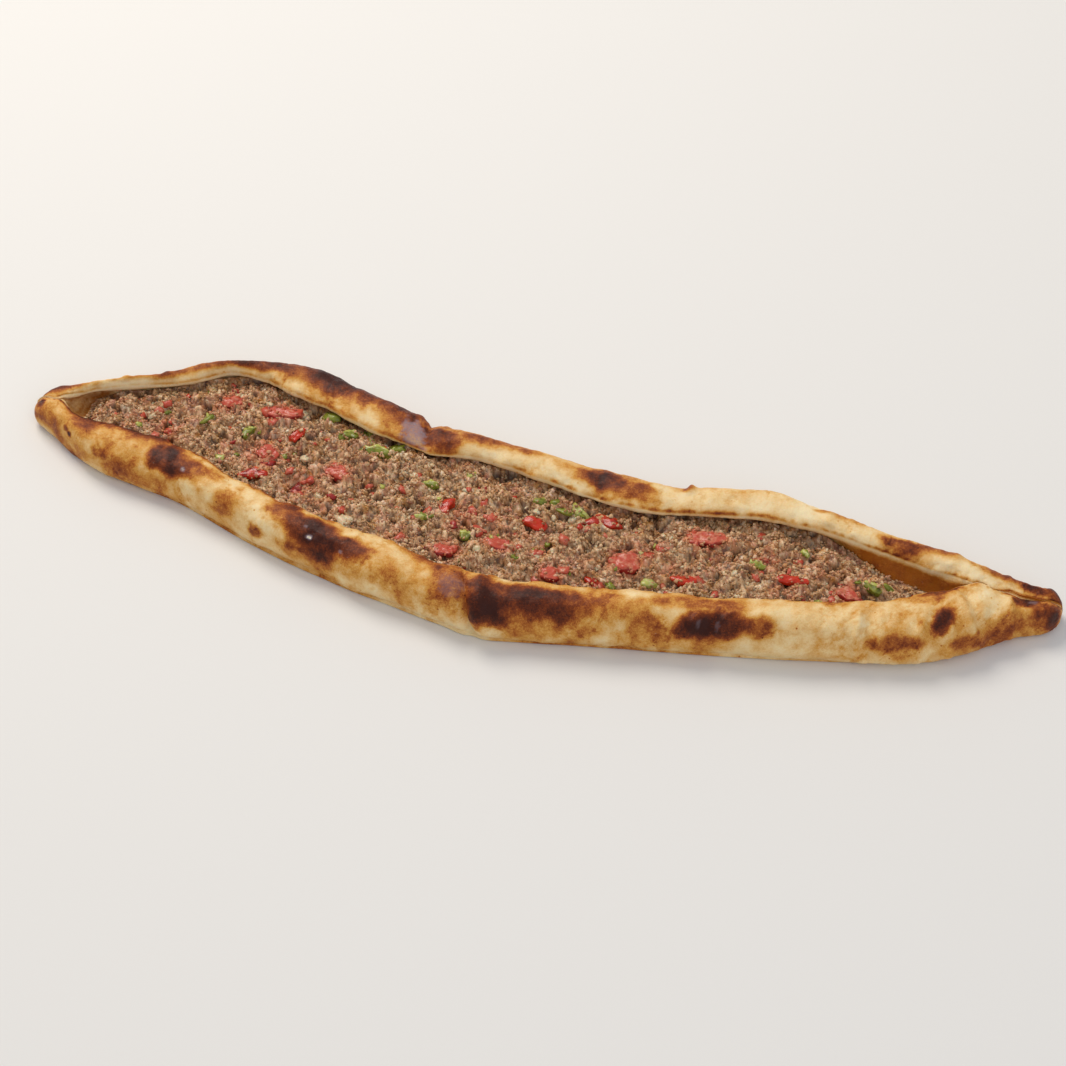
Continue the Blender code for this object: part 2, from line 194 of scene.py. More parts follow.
# the boat of dough: its outline from above and its folded sections, as in the solids
boat = {
    "edgeNear": [(-232, 4), (-222, 4), (-205, -7), (-180, -16), (-150, -22), (-105, -38), (-60, -51),
                (-20, -59), (-3, -63), (15, -60), (55, -53), (110, -43), (165, -32), (190, -22),
                (205, -12), (213, -4), (222, 1.5), (232, 6)],
    "edgeFar": [(-232, 27), (-222, 27), (-205, 31), (-180, 41), (-164, 52), (-148, 57), (-130, 63),
               (-112, 62), (-90, 57), (-52, 47), (-15, 41.5), (25, 38), (60, 36), (85, 40), (105, 42),
               (135, 35.5), (165, 29), (190, 25), (212, 22.5), (232, 20)],
    "lipNear": [(-228, 17), (-219, 15), (-208, 8), (-195, 6), (-165, 2), (-150, -1), (-120, -14),
               (-90, -24), (-52, -31), (-15, -39.5), (-3, -41), (25, -37), (70, -29.5), (110, -23.5),
               (150, -13), (180, 1), (198, 10), (214, 11)],
    "lipFar": [(-228, 18), (-219, 18.5), (-208, 25), (-195, 29), (-165, 40), (-150, 50), (-135, 49.5),
              (-105, 40.5), (-52, 25.5), (-30, 28), (-3, 23.5), (25, 17.5), (48, 15), (70, 19), (110, 24),
              (150, 19.5), (180, 14), (198, 11), (214, 12)],
    "rimNear": [(-232, 13), (-205, 17), (-150, 18.5), (-50, 20), (110, 20.5), (195, 19), (215, 14.5),
               (232, 13)],
    "rimFar": [(-232, 13), (-205, 17), (-150, 20), (-100, 21), (-50, 19), (60, 19), (110, 20.5), (195, 17),
              (215, 15), (232, 13)],
    "floor": 4.0,
    "shutGap": 1.0, "openGap": 16.0,         # gap between the lips at a pinched end, and where it is open
    "noseLeft": 12.0, "noseRight": 8.0, "noseHeight": 0.42,
    "seamHalf": 0.6, "seamStep": 0.4, "seamTaper": 0.16, "pinchedFall": 0.5,
    "leanStart": 116.0, "leanFull": 160.0,   # the far flap stands up over this stretch
    "creases": [(-3.0, -10.0, -1, 3.2, 3.0), (-53.0, -52.0, 1, 3.5, 2.6)], "creaseFall": 0.5,
    "outside": [(0.26, 0.0), (0.10, 0.07), (0.02, 0.20), (0.0, 0.40), (0.03, 0.60), (0.10, 0.78),
               (0.22, 0.91), (0.38, 0.985), (0.52, 1.0), (0.68, 0.98), (0.83, 0.93), (0.95, 0.85),
               (1.0, 0.76)],
    "inside": [(0.94, 0.67), (0.64, 0.62), (0.45, 0.42), (0.48, None)],
    "leaning": [(0.6, 0.62), (1.6, 0.50), (3.6, 0.34), (6.5, None)],
    "crest": 0.52,
    "sideUneven": (1.6, 24.0), "topUneven": (1.5, 21.0), "sideApart": 9.0,
}
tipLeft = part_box("crust")[0][0] / mm
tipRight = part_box("crust")[1][0] / mm


# a curve from start to end that leaves and arrives at the given slopes
def smoothCurve(start, end, slopeIn, slopeOut, t):
    return mix(start, end, t * t * (3 - 2 * t)) + slopeIn * t * (1 - t) ** 2 - slopeOut * t * t * (1 - t)


# the height at x of a smooth curve through the points
def along(points, x):
    last = len(points) - 1
    x = min(max(x, points[0][0]), points[last][0])
    i = 0
    while i < last - 1 and x > points[i + 1][0]:
        i += 1
    before, start, end, after = points[max(i - 1, 0)], points[i], points[i + 1], points[min(i + 2, last)]
    span = end[0] - start[0]
    t = (x - start[0]) / span
    slopeIn = (end[1] - before[1]) / (end[0] - before[0]) * span
    slopeOut = (after[1] - start[1]) / (after[0] - start[0]) * span
    return smoothCurve(start[1], end[1], slopeIn, slopeOut, t)


def uneven(x, y, z, size, over):
    return size * noise.noise(Vector((x / over, y / over, z / over)))


def noseRound(x):
    inward = 1.0 - min(1.0, (x - tipLeft) / boat["noseLeft"], (tipRight - x) / boat["noseRight"])
    return math.sqrt(max(0.0, 1.0 - inward * inward))


def creaseDepth(x, side, heightShare):
    depth = 0.0
    for footX, crestX, creaseSide, half, deep in boat["creases"]:
        if side == creaseSide:
            depth += deep * math.exp(-((x - mix(footX, crestX, heightShare)) / half) ** 2)
    return depth


def measures(x):
    near, far = along(boat["edgeNear"], x), along(boat["edgeFar"], x)
    lipNear, lipFar = along(boat["lipNear"], x), along(boat["lipFar"], x)
    seam = (lipNear + lipFar) / 2
    openShare = float(ease((lipFar - lipNear - boat["shutGap"]) / (boat["openGap"] - boat["shutGap"])))
    lipNear, lipFar = min(lipNear, seam - boat["seamHalf"]), max(lipFar, seam + boat["seamHalf"])
    return near, far, lipNear, lipFar, along(boat["rimNear"], x), along(boat["rimFar"], x), seam, openShare


def leanShare(x):
    return float(ease((x - boat["leanStart"]) / (boat["leanFull"] - boat["leanStart"])))


def sideSection(x, side, edge, lip, rim, seam, openShare):
    width = lip - edge
    points = []
    for share, heightShare in boat["outside"]:
        fall = 1.0 - heightShare
        if share > boat["crest"]:
            fall *= mix(boat["pinchedFall"], 1.0, openShare)
        y, z = edge + width * share, rim * (1.0 - fall)
        if heightShare > 0.0:
            dent = creaseDepth(x, side, heightShare) * (1.0 - share)
            y -= side * (dent + uneven(x, y, z, *boat["sideUneven"]) * (1.0 - share))
            wave = uneven(x, y, boat["sideApart"] * side, *boat["topUneven"])
            z += heightShare * (wave - boat["creaseFall"] * dent)
        points.append((y, z))
    lipHeight = points[-1][1]
    lean = leanShare(x) if side > 0 else 0.0
    for step, (under, leaning) in enumerate(zip(boat["inside"], boat["leaning"]), 1):
        openY = mix(edge + width * under[0], lip - side * leaning[0], lean)
        openZ = boat["floor"] if under[1] is None else rim * mix(under[1], leaning[1], lean)
        shutY = seam + side * boat["seamHalf"] * (1.0 - boat["seamTaper"] * step)
        shutZ = lipHeight - boat["seamStep"] * step
        points.append((mix(shutY, openY, openShare), mix(shutZ, openZ, openShare)))
    return points


def bothSections(x):
    near, far, lipNear, lipFar, rimNear, rimFar, seam, openShare = measures(x)
    nearSide = sideSection(x, -1, near, lipNear, rimNear, seam, openShare)
    return nearSide, sideSection(x, 1, far, lipFar, rimFar, seam, openShare)


# the whole section at x as a ring of points, from the middle of the underside round by the near side
def crustRing(x):
    nearSide, farSide = bothSections(x)
    lines = ("edgeNear", "edgeFar", "rimNear", "rimFar")
    near, far, rimNear, rimFar = (along(boat[name], x) for name in lines)
    middle = (near + far) / 2
    floorMiddle = ((nearSide[-1][0] + farSide[-1][0]) / 2, (nearSide[-1][1] + farSide[-1][1]) / 2)
    scale, centre = noseRound(x), boat["noseHeight"] * (rimNear + rimFar) / 2
    ring = [(middle, 0.0)] + nearSide + [floorMiddle] + farSide[::-1]
    return [(mix(middle, y, scale), mix(centre, z, scale)) for y, z in ring]


crust = {
    "stations": 640, "bunching": 0.22,       # cross-sections, and how far they crowd at the ends
    "outsideCuts": 5, "insideCuts": 2, "bottomCuts": 3,   # points per stretch of the section
    "relief": [(0.75, 26.0, 1), (0.36, 9.0, 2), (0.19, 3.6, 3), (0.08, 1.4, 4)],   # pillows down to skin
    "insideRelief": 0.35, "flatUpTo": 2.5,   # share of the relief inside, and the height where it starts
    "blister": 0.55, "blisterMm": 5.0, "blisterHalf": 0.55, "blistered": 0.48,
    "wrinkle": 0.22, "wrinkles": [(1.0, 7.0, 16)], "wrinkleStretch": [1.0, 0.45, 0.45],
    "wrinkleFine": [(0.25, 2.0, 20)],
    "wrinkleWide": 0.10, "wrinkledMm": 17.0, "wrinkleEnd": 110.0,
    "lipWave": [(0.8, 13.0, 6), (0.4, 4.5, 7)], "lipHalf": 0.12, "lipRise": 0.5,
    "seamWander": [(2.2, 8.0, 8)], "seamFill": 1.5,
}
# pulled ridges and pleats: x at foot and crest, side, half width, height, and from and to along the section
pleats = [
    (154, 151, -1, 1.7, 1.5, 0.15, 0.75), (159, 156, -1, 2.6, -1.3, 0.15, 0.8),
    (178, 176, -1, 2.0, 1.3, 0.1, 0.6), (184, 180, -1, 2.4, -1.1, 0.1, 0.7),
    (190, 188, -1, 1.8, 1.3, 0.1, 0.6), (208, 192, -1, 1.5, 1.6, 0.3, 0.9),
    (212, 196, -1, 1.8, -1.3, 0.3, 0.9), (213, 210, -1, 1.8, 1.6, 0.1, 0.9),
    (206, 203, -1, 2.2, -1.1, 0.1, 0.7), (83, 87, -1, 1.6, 1.3, 0.33, 0.6),
    (95, 99, -1, 1.5, 1.4, 0.33, 0.6), (89, 93, -1, 2.2, -0.9, 0.33, 0.6),
    (104, 108, -1, 1.8, 1.0, 0.33, 0.55), (-3, -10, -1, 0.8, -1.4, 0.0, 0.95),
    (3, -3, -1, 3.5, 1.3, 0.1, 0.95), (-9, -17, -1, 3.0, 0.8, 0.2, 0.9), (9, 6, -1, 0.9, 0.7, 0.2, 0.5),
    (-53, -52, 1, 0.8, -0.8, 0.2, 1.0), (-47, -46, 1, 3.0, 0.4, 0.3, 1.0),
    (-60, -59, 1, 3.2, 0.3, 0.3, 1.0), (67, 68, 1, 1.8, 2.0, 0.42, 0.72),
    (-180, -176, 1, 2.2, 0.8, 0.3, 0.9), (-196, -194, 1, 2.0, 0.7, 0.3, 0.9),
    (205, 208, 1, 1.8, 0.8, 0.2, 0.8), (-215, -214, -1, 2.0, 0.6, 0.1, 0.8),
    (125, 128, 1, 3.0, 0.9, 0.5, 0.9), (186, 183, 1, 2.6, 0.8, 0.3, 0.9),
]
# scorched patches: x, side, place along the section from foot 0 to lip 1, half sizes, slant and strength
scorches = [
    (-156, -1, 0.60, 9, 0.24, -8, 0.62), (-146, -1, 0.62, 11, 0.17, 0, 0.50),
    (-134, -1, 0.72, 6, 0.10, 0, 0.34), (-107, -1, 0.33, 4, 0.08, 0, 0.40),
    (-122, -1, 0.50, 9, 0.12, 0, 0.14), (-95, -1, 0.70, 11, 0.22, 0, 0.54),
    (-80, -1, 0.58, 16, 0.22, -8, 0.62), (-64, -1, 0.58, 11, 0.14, 0, 0.50),
    (-44, -1, 0.50, 8, 0.12, 0, 0.16), (-16, -1, 0.62, 10, 0.22, 0, 0.30),
    (-1, -1, 0.55, 8, 0.34, 0, 0.60), (4, -1, 0.42, 8, 0.14, 0, 0.53), (9, -1, 0.56, 8, 0.24, 0, 0.40),
    (14, -1, 0.62, 14, 0.24, 0, 0.48), (30, -1, 0.56, 16, 0.20, 0, 0.42),
    (52, -1, 0.62, 14, 0.14, 0, 0.26), (88, -1, 0.45, 9, 0.14, 0, 0.54),
    (100, -1, 0.47, 10, 0.14, 0, 0.58), (112, -1, 0.46, 7, 0.12, 0, 0.43),
    (92, -1, 0.70, 22, 0.14, 0, 0.30), (166, -1, 0.36, 15, 0.08, 0, 0.22),
    (185, -1, 0.57, 4.2, 0.15, 4, 0.52), (182, -1, 0.84, 10, 0.10, 0, 0.22),
    (198, -1, 0.32, 9, 0.10, 0, 0.14), (216, -1, 0.80, 6, 0.18, 0, 0.62),
    (223, -1, 0.62, 4, 0.20, 0, 0.34), (228, -1, 0.50, 3, 0.40, 0, 0.34),
    (-227, -1, 0.62, 2.8, 0.16, 0, 0.53), (-222, -1, 0.45, 8, 0.20, 0, 0.18),
    (-209, -1, 0.45, 1.8, 0.05, 0, 0.47), (-207, -1, 0.40, 1.2, 0.04, 0, 0.52),
    (-189, -1, 0.42, 5, 0.06, 0, 0.24), (-190, -1, 0.88, 22, 0.16, 0, 0.36),
    (-192, -1, 0.68, 22, 0.22, 0, 0.24), (-200, -1, 0.72, 7, 0.12, 0, 0.12),
    (-176, -1, 0.30, 22, 0.16, 0, 0.12), (-134, 1, 0.68, 16, 0.18, 0, 0.46),
    (-114, 1, 0.60, 20, 0.26, 0, 0.36), (-92, 1, 0.60, 22, 0.28, 0, 0.33),
    (-70, 1, 0.64, 16, 0.30, 0, 0.33), (-82, 1, 0.45, 40, 0.14, 0, 0.25),
    (-58, 1, 0.82, 10, 0.26, 0, 0.25), (-44, 1, 0.74, 11, 0.20, 0, 0.49),
    (-28, 1, 0.64, 14, 0.16, 0, 0.37), (-10, 1, 0.58, 12, 0.12, 0, 0.28), (17, 1, 0.70, 9, 0.13, 0, 0.41),
    (32, 1, 0.72, 12, 0.18, 0, 0.56), (48, 1, 0.76, 11, 0.16, 0, 0.54), (67, 1, 0.58, 3.2, 0.07, 0, 0.37),
    (124, 1, 0.62, 4, 0.05, 0, 0.37), (163, 1, 0.74, 13, 0.17, 0, 0.49), (176, 1, 0.62, 11, 0.12, 0, 0.30),
    (206, 1, 0.62, 16, 0.12, 0, 0.25), (218, 1, 0.72, 8, 0.16, 0, 0.46), (228, 1, 0.60, 5, 0.5, 0, 0.31),
    (-204, 1, 0.84, 5, 0.12, 0, 0.22), (-180, 1, 0.72, 22, 0.14, 0, 0.15),
    (-152, 1, 0.72, 10, 0.14, 0, 0.20), (-222, 1, 0.7, 7, 0.24, 0, 0.14),
]
# painted grey-purple sheen on scorched skin, white as a painted highlight where strongest: x, side, place
# along the section, half sizes and strength
paintedSheens = [
    (-58, 1, 0.80, 6.0, 0.20, 1.0), (-15, -1, 0.58, 5.5, 0.13, 0.36), (-147.5, -1, 0.55, 1.0, 0.02, 1.2),
    (-81.5, -1, 0.51, 1.5, 0.03, 1.4), (-84, -1, 0.62, 0.9, 0.02, 0.8), (-66, -1, 0.49, 1.0, 0.02, 0.8),
    (88.5, -1, 0.47, 0.8, 0.05, 0.32), (96, -1, 0.45, 0.9, 0.06, 0.30), (219, -1, 0.78, 2.0, 0.05, 0.4),
    (-52, 1, 0.93, 2.5, 0.05, 0.6),
]


def stationPlaces(count):
    even = np.linspace(0.0, 1.0, count + 2)[1:-1]
    bunched = (1.0 - np.cos(np.pi * even)) / 2.0
    return mix(tipLeft, tipRight, mix(even, bunched, crust["bunching"]))


# a smooth curve through each ring's points; also says where each new point lies along the section
def refinedRings(places):
    rings = np.array([crustRing(x) for x in places])
    outsideCount, insideCount = len(boat["outside"]), len(boat["inside"])
    sidePlaces = [i / (outsideCount - 1) for i in range(outsideCount)]
    sidePlaces += [1.0 + 0.12 * (i + 1) for i in range(insideCount)]
    shares = [-0.2] + sidePlaces + [1.62] + sidePlaces[::-1]
    sides = [0.0] + [-1.0] * len(sidePlaces) + [0.0] + [1.0] * len(sidePlaces)
    count = len(shares)
    columns, share, side = [], [], []
    for k in range(count):
        a, b = shares[k], shares[(k + 1) % count]
        if min(a, b) < 0:
            cuts = crust["bottomCuts"]
        elif max(a, b) <= 1.0:
            cuts = crust["outsideCuts"]
        else:
            cuts = crust["insideCuts"]
        before, start = rings[:, (k - 1) % count], rings[:, k]
        end, after = rings[:, (k + 1) % count], rings[:, (k + 2) % count]
        for cut in range(cuts):
            t = cut / cuts
            columns.append(smoothCurve(start, end, (end - before) / 2, (after - start) / 2, t))
            share.append(mix(a, b, t))
            side.append(sides[k] if sides[k] else sides[(k + 1) % count])
    yz = np.stack(columns, 1)
    grid = np.concatenate([np.broadcast_to(places[:, None, None], (*yz.shape[:2], 1)), yz], 2)
    grid[:, :, 2] = np.maximum(grid[:, :, 2], 0.0)
    return grid, np.array(share), np.array(side)


def pleatRelief(x, share, side):
    relief = np.zeros_like(x)
    for footX, crestX, pleatSide, half, height, start, end in pleats:
        window = ease((share - start) / 0.12) * ease((end - share) / 0.12) * (side == pleatSide)
        relief += height * window * hill((x - mix(footX, crestX, share / 0.65)) / half)
    return relief


# a patch of scorched skin or of painted sheen ends at `end` times its half size, with an edge that wanders
# and fades
scorching = {
    "wander": [(0.22, 11.0, 21), (0.14, 3.5, 22)], "drift": [(0.22, 9.0, 23), (0.14, 2.6, 24)],
    "end": 1.36, "fade": 0.95, "pileUp": 0.28, "level": 0.96, "uneven": [(0.20, 4.5, 27)],
    "sheenWander": [(0.35, 3.0, 25), (0.2, 1.2, 26)], "sheenEnd": 1.2, "sheenFade": 0.5,
}


def scorchAmount(points, share, side):
    wander, drift = layered(points, scorching["wander"]), layered(points, scorching["drift"])
    amount = np.zeros(len(points))
    for x, patchSide, place, halfLength, halfHeight, slant, strength in scorches:
        reach = np.hypot((points[:, 0] - x - slant * (share - place)) / halfLength + wander,
                         (share - place) / halfHeight + drift)
        patch = strength * ease((scorching["end"] - reach) / scorching["fade"]) * (side == patchSide)
        amount = np.maximum(amount, patch) + scorching["pileUp"] * np.minimum(amount, patch)
    return amount * (scorching["level"] + layered(points, scorching["uneven"]))


def paintedSheenAmount(points, share, side):
    end = scorching["sheenEnd"] + layered(points, scorching["sheenWander"])
    amount = np.zeros(len(points))
    for x, patchSide, place, halfLength, halfHeight, strength in paintedSheens:
        reach = np.hypot((points[:, 0] - x) / halfLength, (share - place) / halfHeight)
        patch = strength * ease((end - reach) / scorching["sheenFade"]) * (side == patchSide)
        amount = np.maximum(amount, patch)
    return amount


# how far each side has baked, from foot 0 over the crest to the lip 1 and down inside:
# 0 is pale, 0.5 golden and 1 scorched
bakeProfile = {
    "place": [-0.2, 0.0, 0.10, 0.20, 0.32, 0.45, 0.58, 0.70, 0.82, 0.90, 0.95, 1.0, 1.08, 1.3, 1.62],
    "near": [0.50, 0.42, 0.28, 0.30, 0.36, 0.28, 0.20, 0.23, 0.30, 0.36, 0.32, 0.20, 0.14, 0.20, 0.28],
    "far": [0.50, 0.42, 0.34, 0.38, 0.44, 0.42, 0.36, 0.25, 0.18, 0.20, 0.34, 0.12, 0.14, 0.20, 0.28],
}
# how much more each side has baked along its length: place along x in mm, then near and far side
bakeAlong = {
    "place": [-232, -205, -170, -145, -100, -60, -30, 20, 60, 95, 125, 150, 178, 205, 232],
    "near": [0.10, 0.10, 0.08, 0.05, 0.0, 0.0, 0.03, 0.05, 0.03, 0.04, 0.0, 0.01, 0.07, 0.09, 0.12],
    "far": [0.10, 0.06, 0.04, 0.06, 0.06, 0.05, 0.02, -0.01, -0.04, -0.06, -0.05, -0.03, 0.02, 0.08, 0.14],
}


# what else darkens the dough, each as an amount of bake
baking = {
    "mottle": [(0.19, 34.0, 11), (0.15, 13.0, 12), (0.09, 5.0, 13)], "insideMottle": 0.35,
    "edge": 0.38, "edgeNear": (0.93, 0.06), "edgeFar": (0.925, 0.04),    # place in the section, half width
    "edgeFine": [(0.6, 2.6, 15)], "edgeCool": 0.35,
    "blister": 0.10, "wrinkle": 0.11, "crest": 0.12, "crestFace": -0.09, "crestPlace": (0.70, 0.08),
    "insideRight": 0.32, "insideFar": 0.13,
    # oil stains inside the boat; in the cavity at the right end they also stand in for painted shade under
    # the lip
    "oilShadeRight": 0.85, "oilLeft": 0.6, "oilAll": 0.22,
    "oilLevel": 0.85, "oilPatches": [(0.7, 6.0, 18), (0.45, 2.0, 19)],
}


def perSide(sides, near, far):
    return np.where(sides < 0, near, far)


def makeCrust(material):
    places = stationPlaces(crust["stations"])
    grid, share, side = refinedRings(places)
    rows, columns = grid.shape[:2]
    shares = np.broadcast_to(share, (rows, columns)).reshape(-1)
    sides = np.broadcast_to(side, (rows, columns)).reshape(-1)
    points = grid.reshape(-1, 3)
    normals = gridNormals(grid).reshape(-1, 3)
    scorch = scorchAmount(points, shares, sides)
    inward = ease((shares - 1.0) / 0.2)
    lift = ease(points[:, 2] / crust["flatUpTo"]) * mix(1.0, crust["insideRelief"], inward)
    relief = layered(points, crust["relief"]) + pleatRelief(points[:, 0], shares, sides)
    near, number = grains(points, crust["blisterMm"], 5)
    bubble = ease(1.0 - near / crust["blisterHalf"]) * (number > 1.0 - crust["blistered"])
    relief += crust["blister"] * bubble * (0.15 + np.clip(scorch, 0, 1))
    # fine wrinkles where the skin dried and shrank, more of them towards the ends
    folds = layered(points * crust["wrinkleStretch"], crust["wrinkles"])
    folds += layered(points, crust["wrinkleFine"])
    atEnd = ease((points[:, 0] - crust["wrinkleEnd"]) / 40)
    wrinkled = ease((lumps(points, crust["wrinkledMm"], 17) + 0.15 + 0.3 * atEnd) / 0.5)
    wrinkle = hill(folds / crust["wrinkleWide"]) * wrinkled
    relief -= crust["wrinkle"] * wrinkle
    wave = layered(points * [1, 0, 0], crust["lipWave"])
    lipShare = hill((shares - 1.0) / crust["lipHalf"])
    points = points + normals * (relief * lift)[:, None]
    points[:, 1] -= sides * wave * lipShare
    # where an end is pinched shut, the seam wanders and its groove closes
    shut = np.repeat([1.0 - measures(place)[7] for place in places], columns)
    pinched = ease((shut - 0.9) / 0.1) * ease((shares - 0.7) / 0.3)
    points[:, 1] += pinched * layered(points * [1, 0, 0], crust["seamWander"])
    points[:, 2] += crust["seamFill"] * pinched * ease((shares - 0.95) / 0.3)
    points[:, 2] += crust["lipRise"] * wave * lipShare
    points[:, 2] = np.maximum(points[:, 2], 0.0)

    x = points[:, 0]
    profile, length = ([np.interp(at, table["place"], table[name]) for name in ("near", "far")]
                       for at, table in ((shares, bakeProfile), (x, bakeAlong)))
    outer = ease((1.05 - shares) / 0.1)
    bake = perSide(sides, *profile) + outer * perSide(sides, *length)
    bake += layered(points, baking["mottle"]) * mix(baking["insideMottle"], 1.0, outer)
    # the thin edge that sticks up into the oven's heat toasts in a broken line
    broken = 0.50 + 0.8 * lumps(points * [1, 0.4, 0.4], 11.0, 14) + layered(points, baking["edgeFine"])
    broken = np.clip(broken, 0.1, 1)
    edges = (baking["edgeNear"], baking["edgeFar"])
    edgeLine = perSide(sides, *(hill((shares - at) / half) for at, half in edges))
    hotNear = np.maximum(ease((-60 - x) / 50), ease((x - 140) / 20))
    heat = mix(baking["edgeCool"], 1.0, perSide(sides, hotNear, ease((x + 30) / 40)))
    bake += baking["edge"] * edgeLine * broken * heat + scorch
    bake += baking["blister"] * bubble * (scorch < 0.2) * outer + baking["wrinkle"] * wrinkle * outer
    # the far rim's crest at the left end stands highest and browns, its inner face stays pale
    crestPlace, crestHalf = baking["crestPlace"]
    high = ease((-128 - x) / 12) * (sides > 0)
    bake += baking["crest"] * hill((shares - crestPlace) / crestHalf) * high
    bake += baking["crestFace"] * ease((shares - 0.82) / 0.06) * high
    inside = ease((shares - 1.02) / 0.1)
    right = ease((x - 128) / 24)
    left = ease((-196 - x) / 8) * ease((x + 222) / 8)
    # in the right end's cavity the stain deepens further down under the lip: painted shade there as well as
    # oil
    deep = mix(0.7, 1.0, ease((shares - 1.04) / 0.15))
    bake += inside * (baking["insideRight"] * right + baking["insideFar"] * (sides > 0))
    oil = inside * (baking["oilShadeRight"] * right * deep + baking["oilLeft"] * left + baking["oilAll"])
    oil *= np.clip(baking["oilLevel"] + layered(points, baking["oilPatches"]), 0.15, 1.3)
    # where a painted sheen and painted white highlight lie on the scorched skin
    bloom = paintedSheenAmount(points, shares, sides)
    tips = np.concatenate([points[:columns].mean(0)[None], points[-columns:].mean(0)[None]])
    tips[0, 0], tips[1, 0] = tipLeft, tipRight
    faces = gridFaces(rows, columns, True).tolist() + fanFaces(rows, columns)
    points = np.concatenate([points, tips])
    attributes = {"bake": bake, "oil": oil, "bloom": bloom}
    attributes = {name: np.append(values, [values[0], values[-1]]) for name, values in attributes.items()}
    piece = makePiece("crustSkin", points, faces, material, attributes)
    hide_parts("crust")
    print("crust:", len(faces), "faces")


# strong white flour, slapped on the stone floor of a hot oven, so it goes from cream to scorched;
# the toasted sugars give the orange brown, and the thin film of oil the soft sheen
doughLook = {
    "cream": "#F2DEB2", "straw": "#E9C78D", "golden": "#D19643", "toast": "#AE6426", "brown": "#823C16",
    "dark": "#5C2610", "char": "#3A160C",
    "steps": [(0.0, "cream"), (0.22, "straw"), (0.43, "golden"), (0.56, "toast"), (0.69, "brown"),
              (0.84, "dark"), (1.0, "char")],
    # the grey-purple colour is a painted sheen on scorched skin; the flour colour is also used for its
    # painted white highlight
    # the oil stain colour also paints the shade in the cavity under the right end's lip
    "oilAndShadeColour": "#A55E18", "bloom": "#9A8B92", "flour": "#E9DCC6",
    "roughness": 0.50, "charRoughness": 0.38, "shine": 0.18, "ior": 1.45, "bump": 0.6, "bumpMm": 0.4,
    "speckleMm": 1.1, "blotchMm": 5.0, "grainMm": 0.35, "flourMm": 2.3,
    "speckEveryMm": 4.5, "speckShare": 0.11, "speckSharp": 26.0,   # pinholes: how far apart, and how wide
    # how much each pattern adds to the baking
    "blotch": 0.30, "fine": 0.26, "speck": 0.32, "middle": -0.15,
    # a slope and an offset for each pattern, which say how sharply it starts and where
    "swingFrom": (2.0, -0.8), "speckFrom": (4.0, -1.7), "highlightFrom": (3.0, -3.1), "flourFrom": (9.0, -6.1),
    "burntFrom": (2.5, -1.2), "flourShare": 0.35, "oilShadeSpread": 0.35, "sheenSpread": 0.1,
    "blotchRough": 0.22, "sheenRough": 0.3,
    "softness": 0.12, "softMm": 2.0, "softRadius": (1.0, 0.55, 0.25),
}


times = {"operation": "MULTIPLY"}
timesPlus = {"operation": "MULTIPLY_ADD"}
timesPlusHeld = {"operation": "MULTIPLY_ADD", "use_clamp": True}       # kept between 0 and 1
timesHeld = {"operation": "MULTIPLY", "use_clamp": True}
# for a mix of colours, where input 0 is the share, 6 and 7 are the two colours, and output 2 is the mix
colours = {"data_type": "RGBA"}


# a noise pattern's inputs, from the size of its patches in mm
def patches(place, sizeMm, detail=3.0, roughness=0.6):
    return {"Vector": place, "Scale": 1 / (sizeMm * mm), "Detail": detail, "Roughness": roughness}


def newMaterial(name):
    material = bpy.data.materials.new(name)
    material.use_nodes = True
    tree = material.node_tree
    return material, tree.nodes["Principled BSDF"], functools.partial(addNode, tree)


# colour, roughness and small relief, and how deep light goes in before it comes out again
def setSurface(add, shader, look, colour, roughness, height):
    relief = add("Bump", inputs={"Height": height, "Strength": look["bump"], "Distance": look["bumpMm"] * mm})
    for name, source in (("Base Color", colour), ("Roughness", roughness), ("Normal", relief)):
        source.id_data.links.new(source, shader.inputs[name])
    shader.inputs["Subsurface Weight"].default_value = look["softness"]
    shader.inputs["Subsurface Scale"].default_value = look["softMm"] * mm
    shader.inputs["Subsurface Radius"].default_value = look["softRadius"]
    shader.inputs["IOR"].default_value = look["ior"]


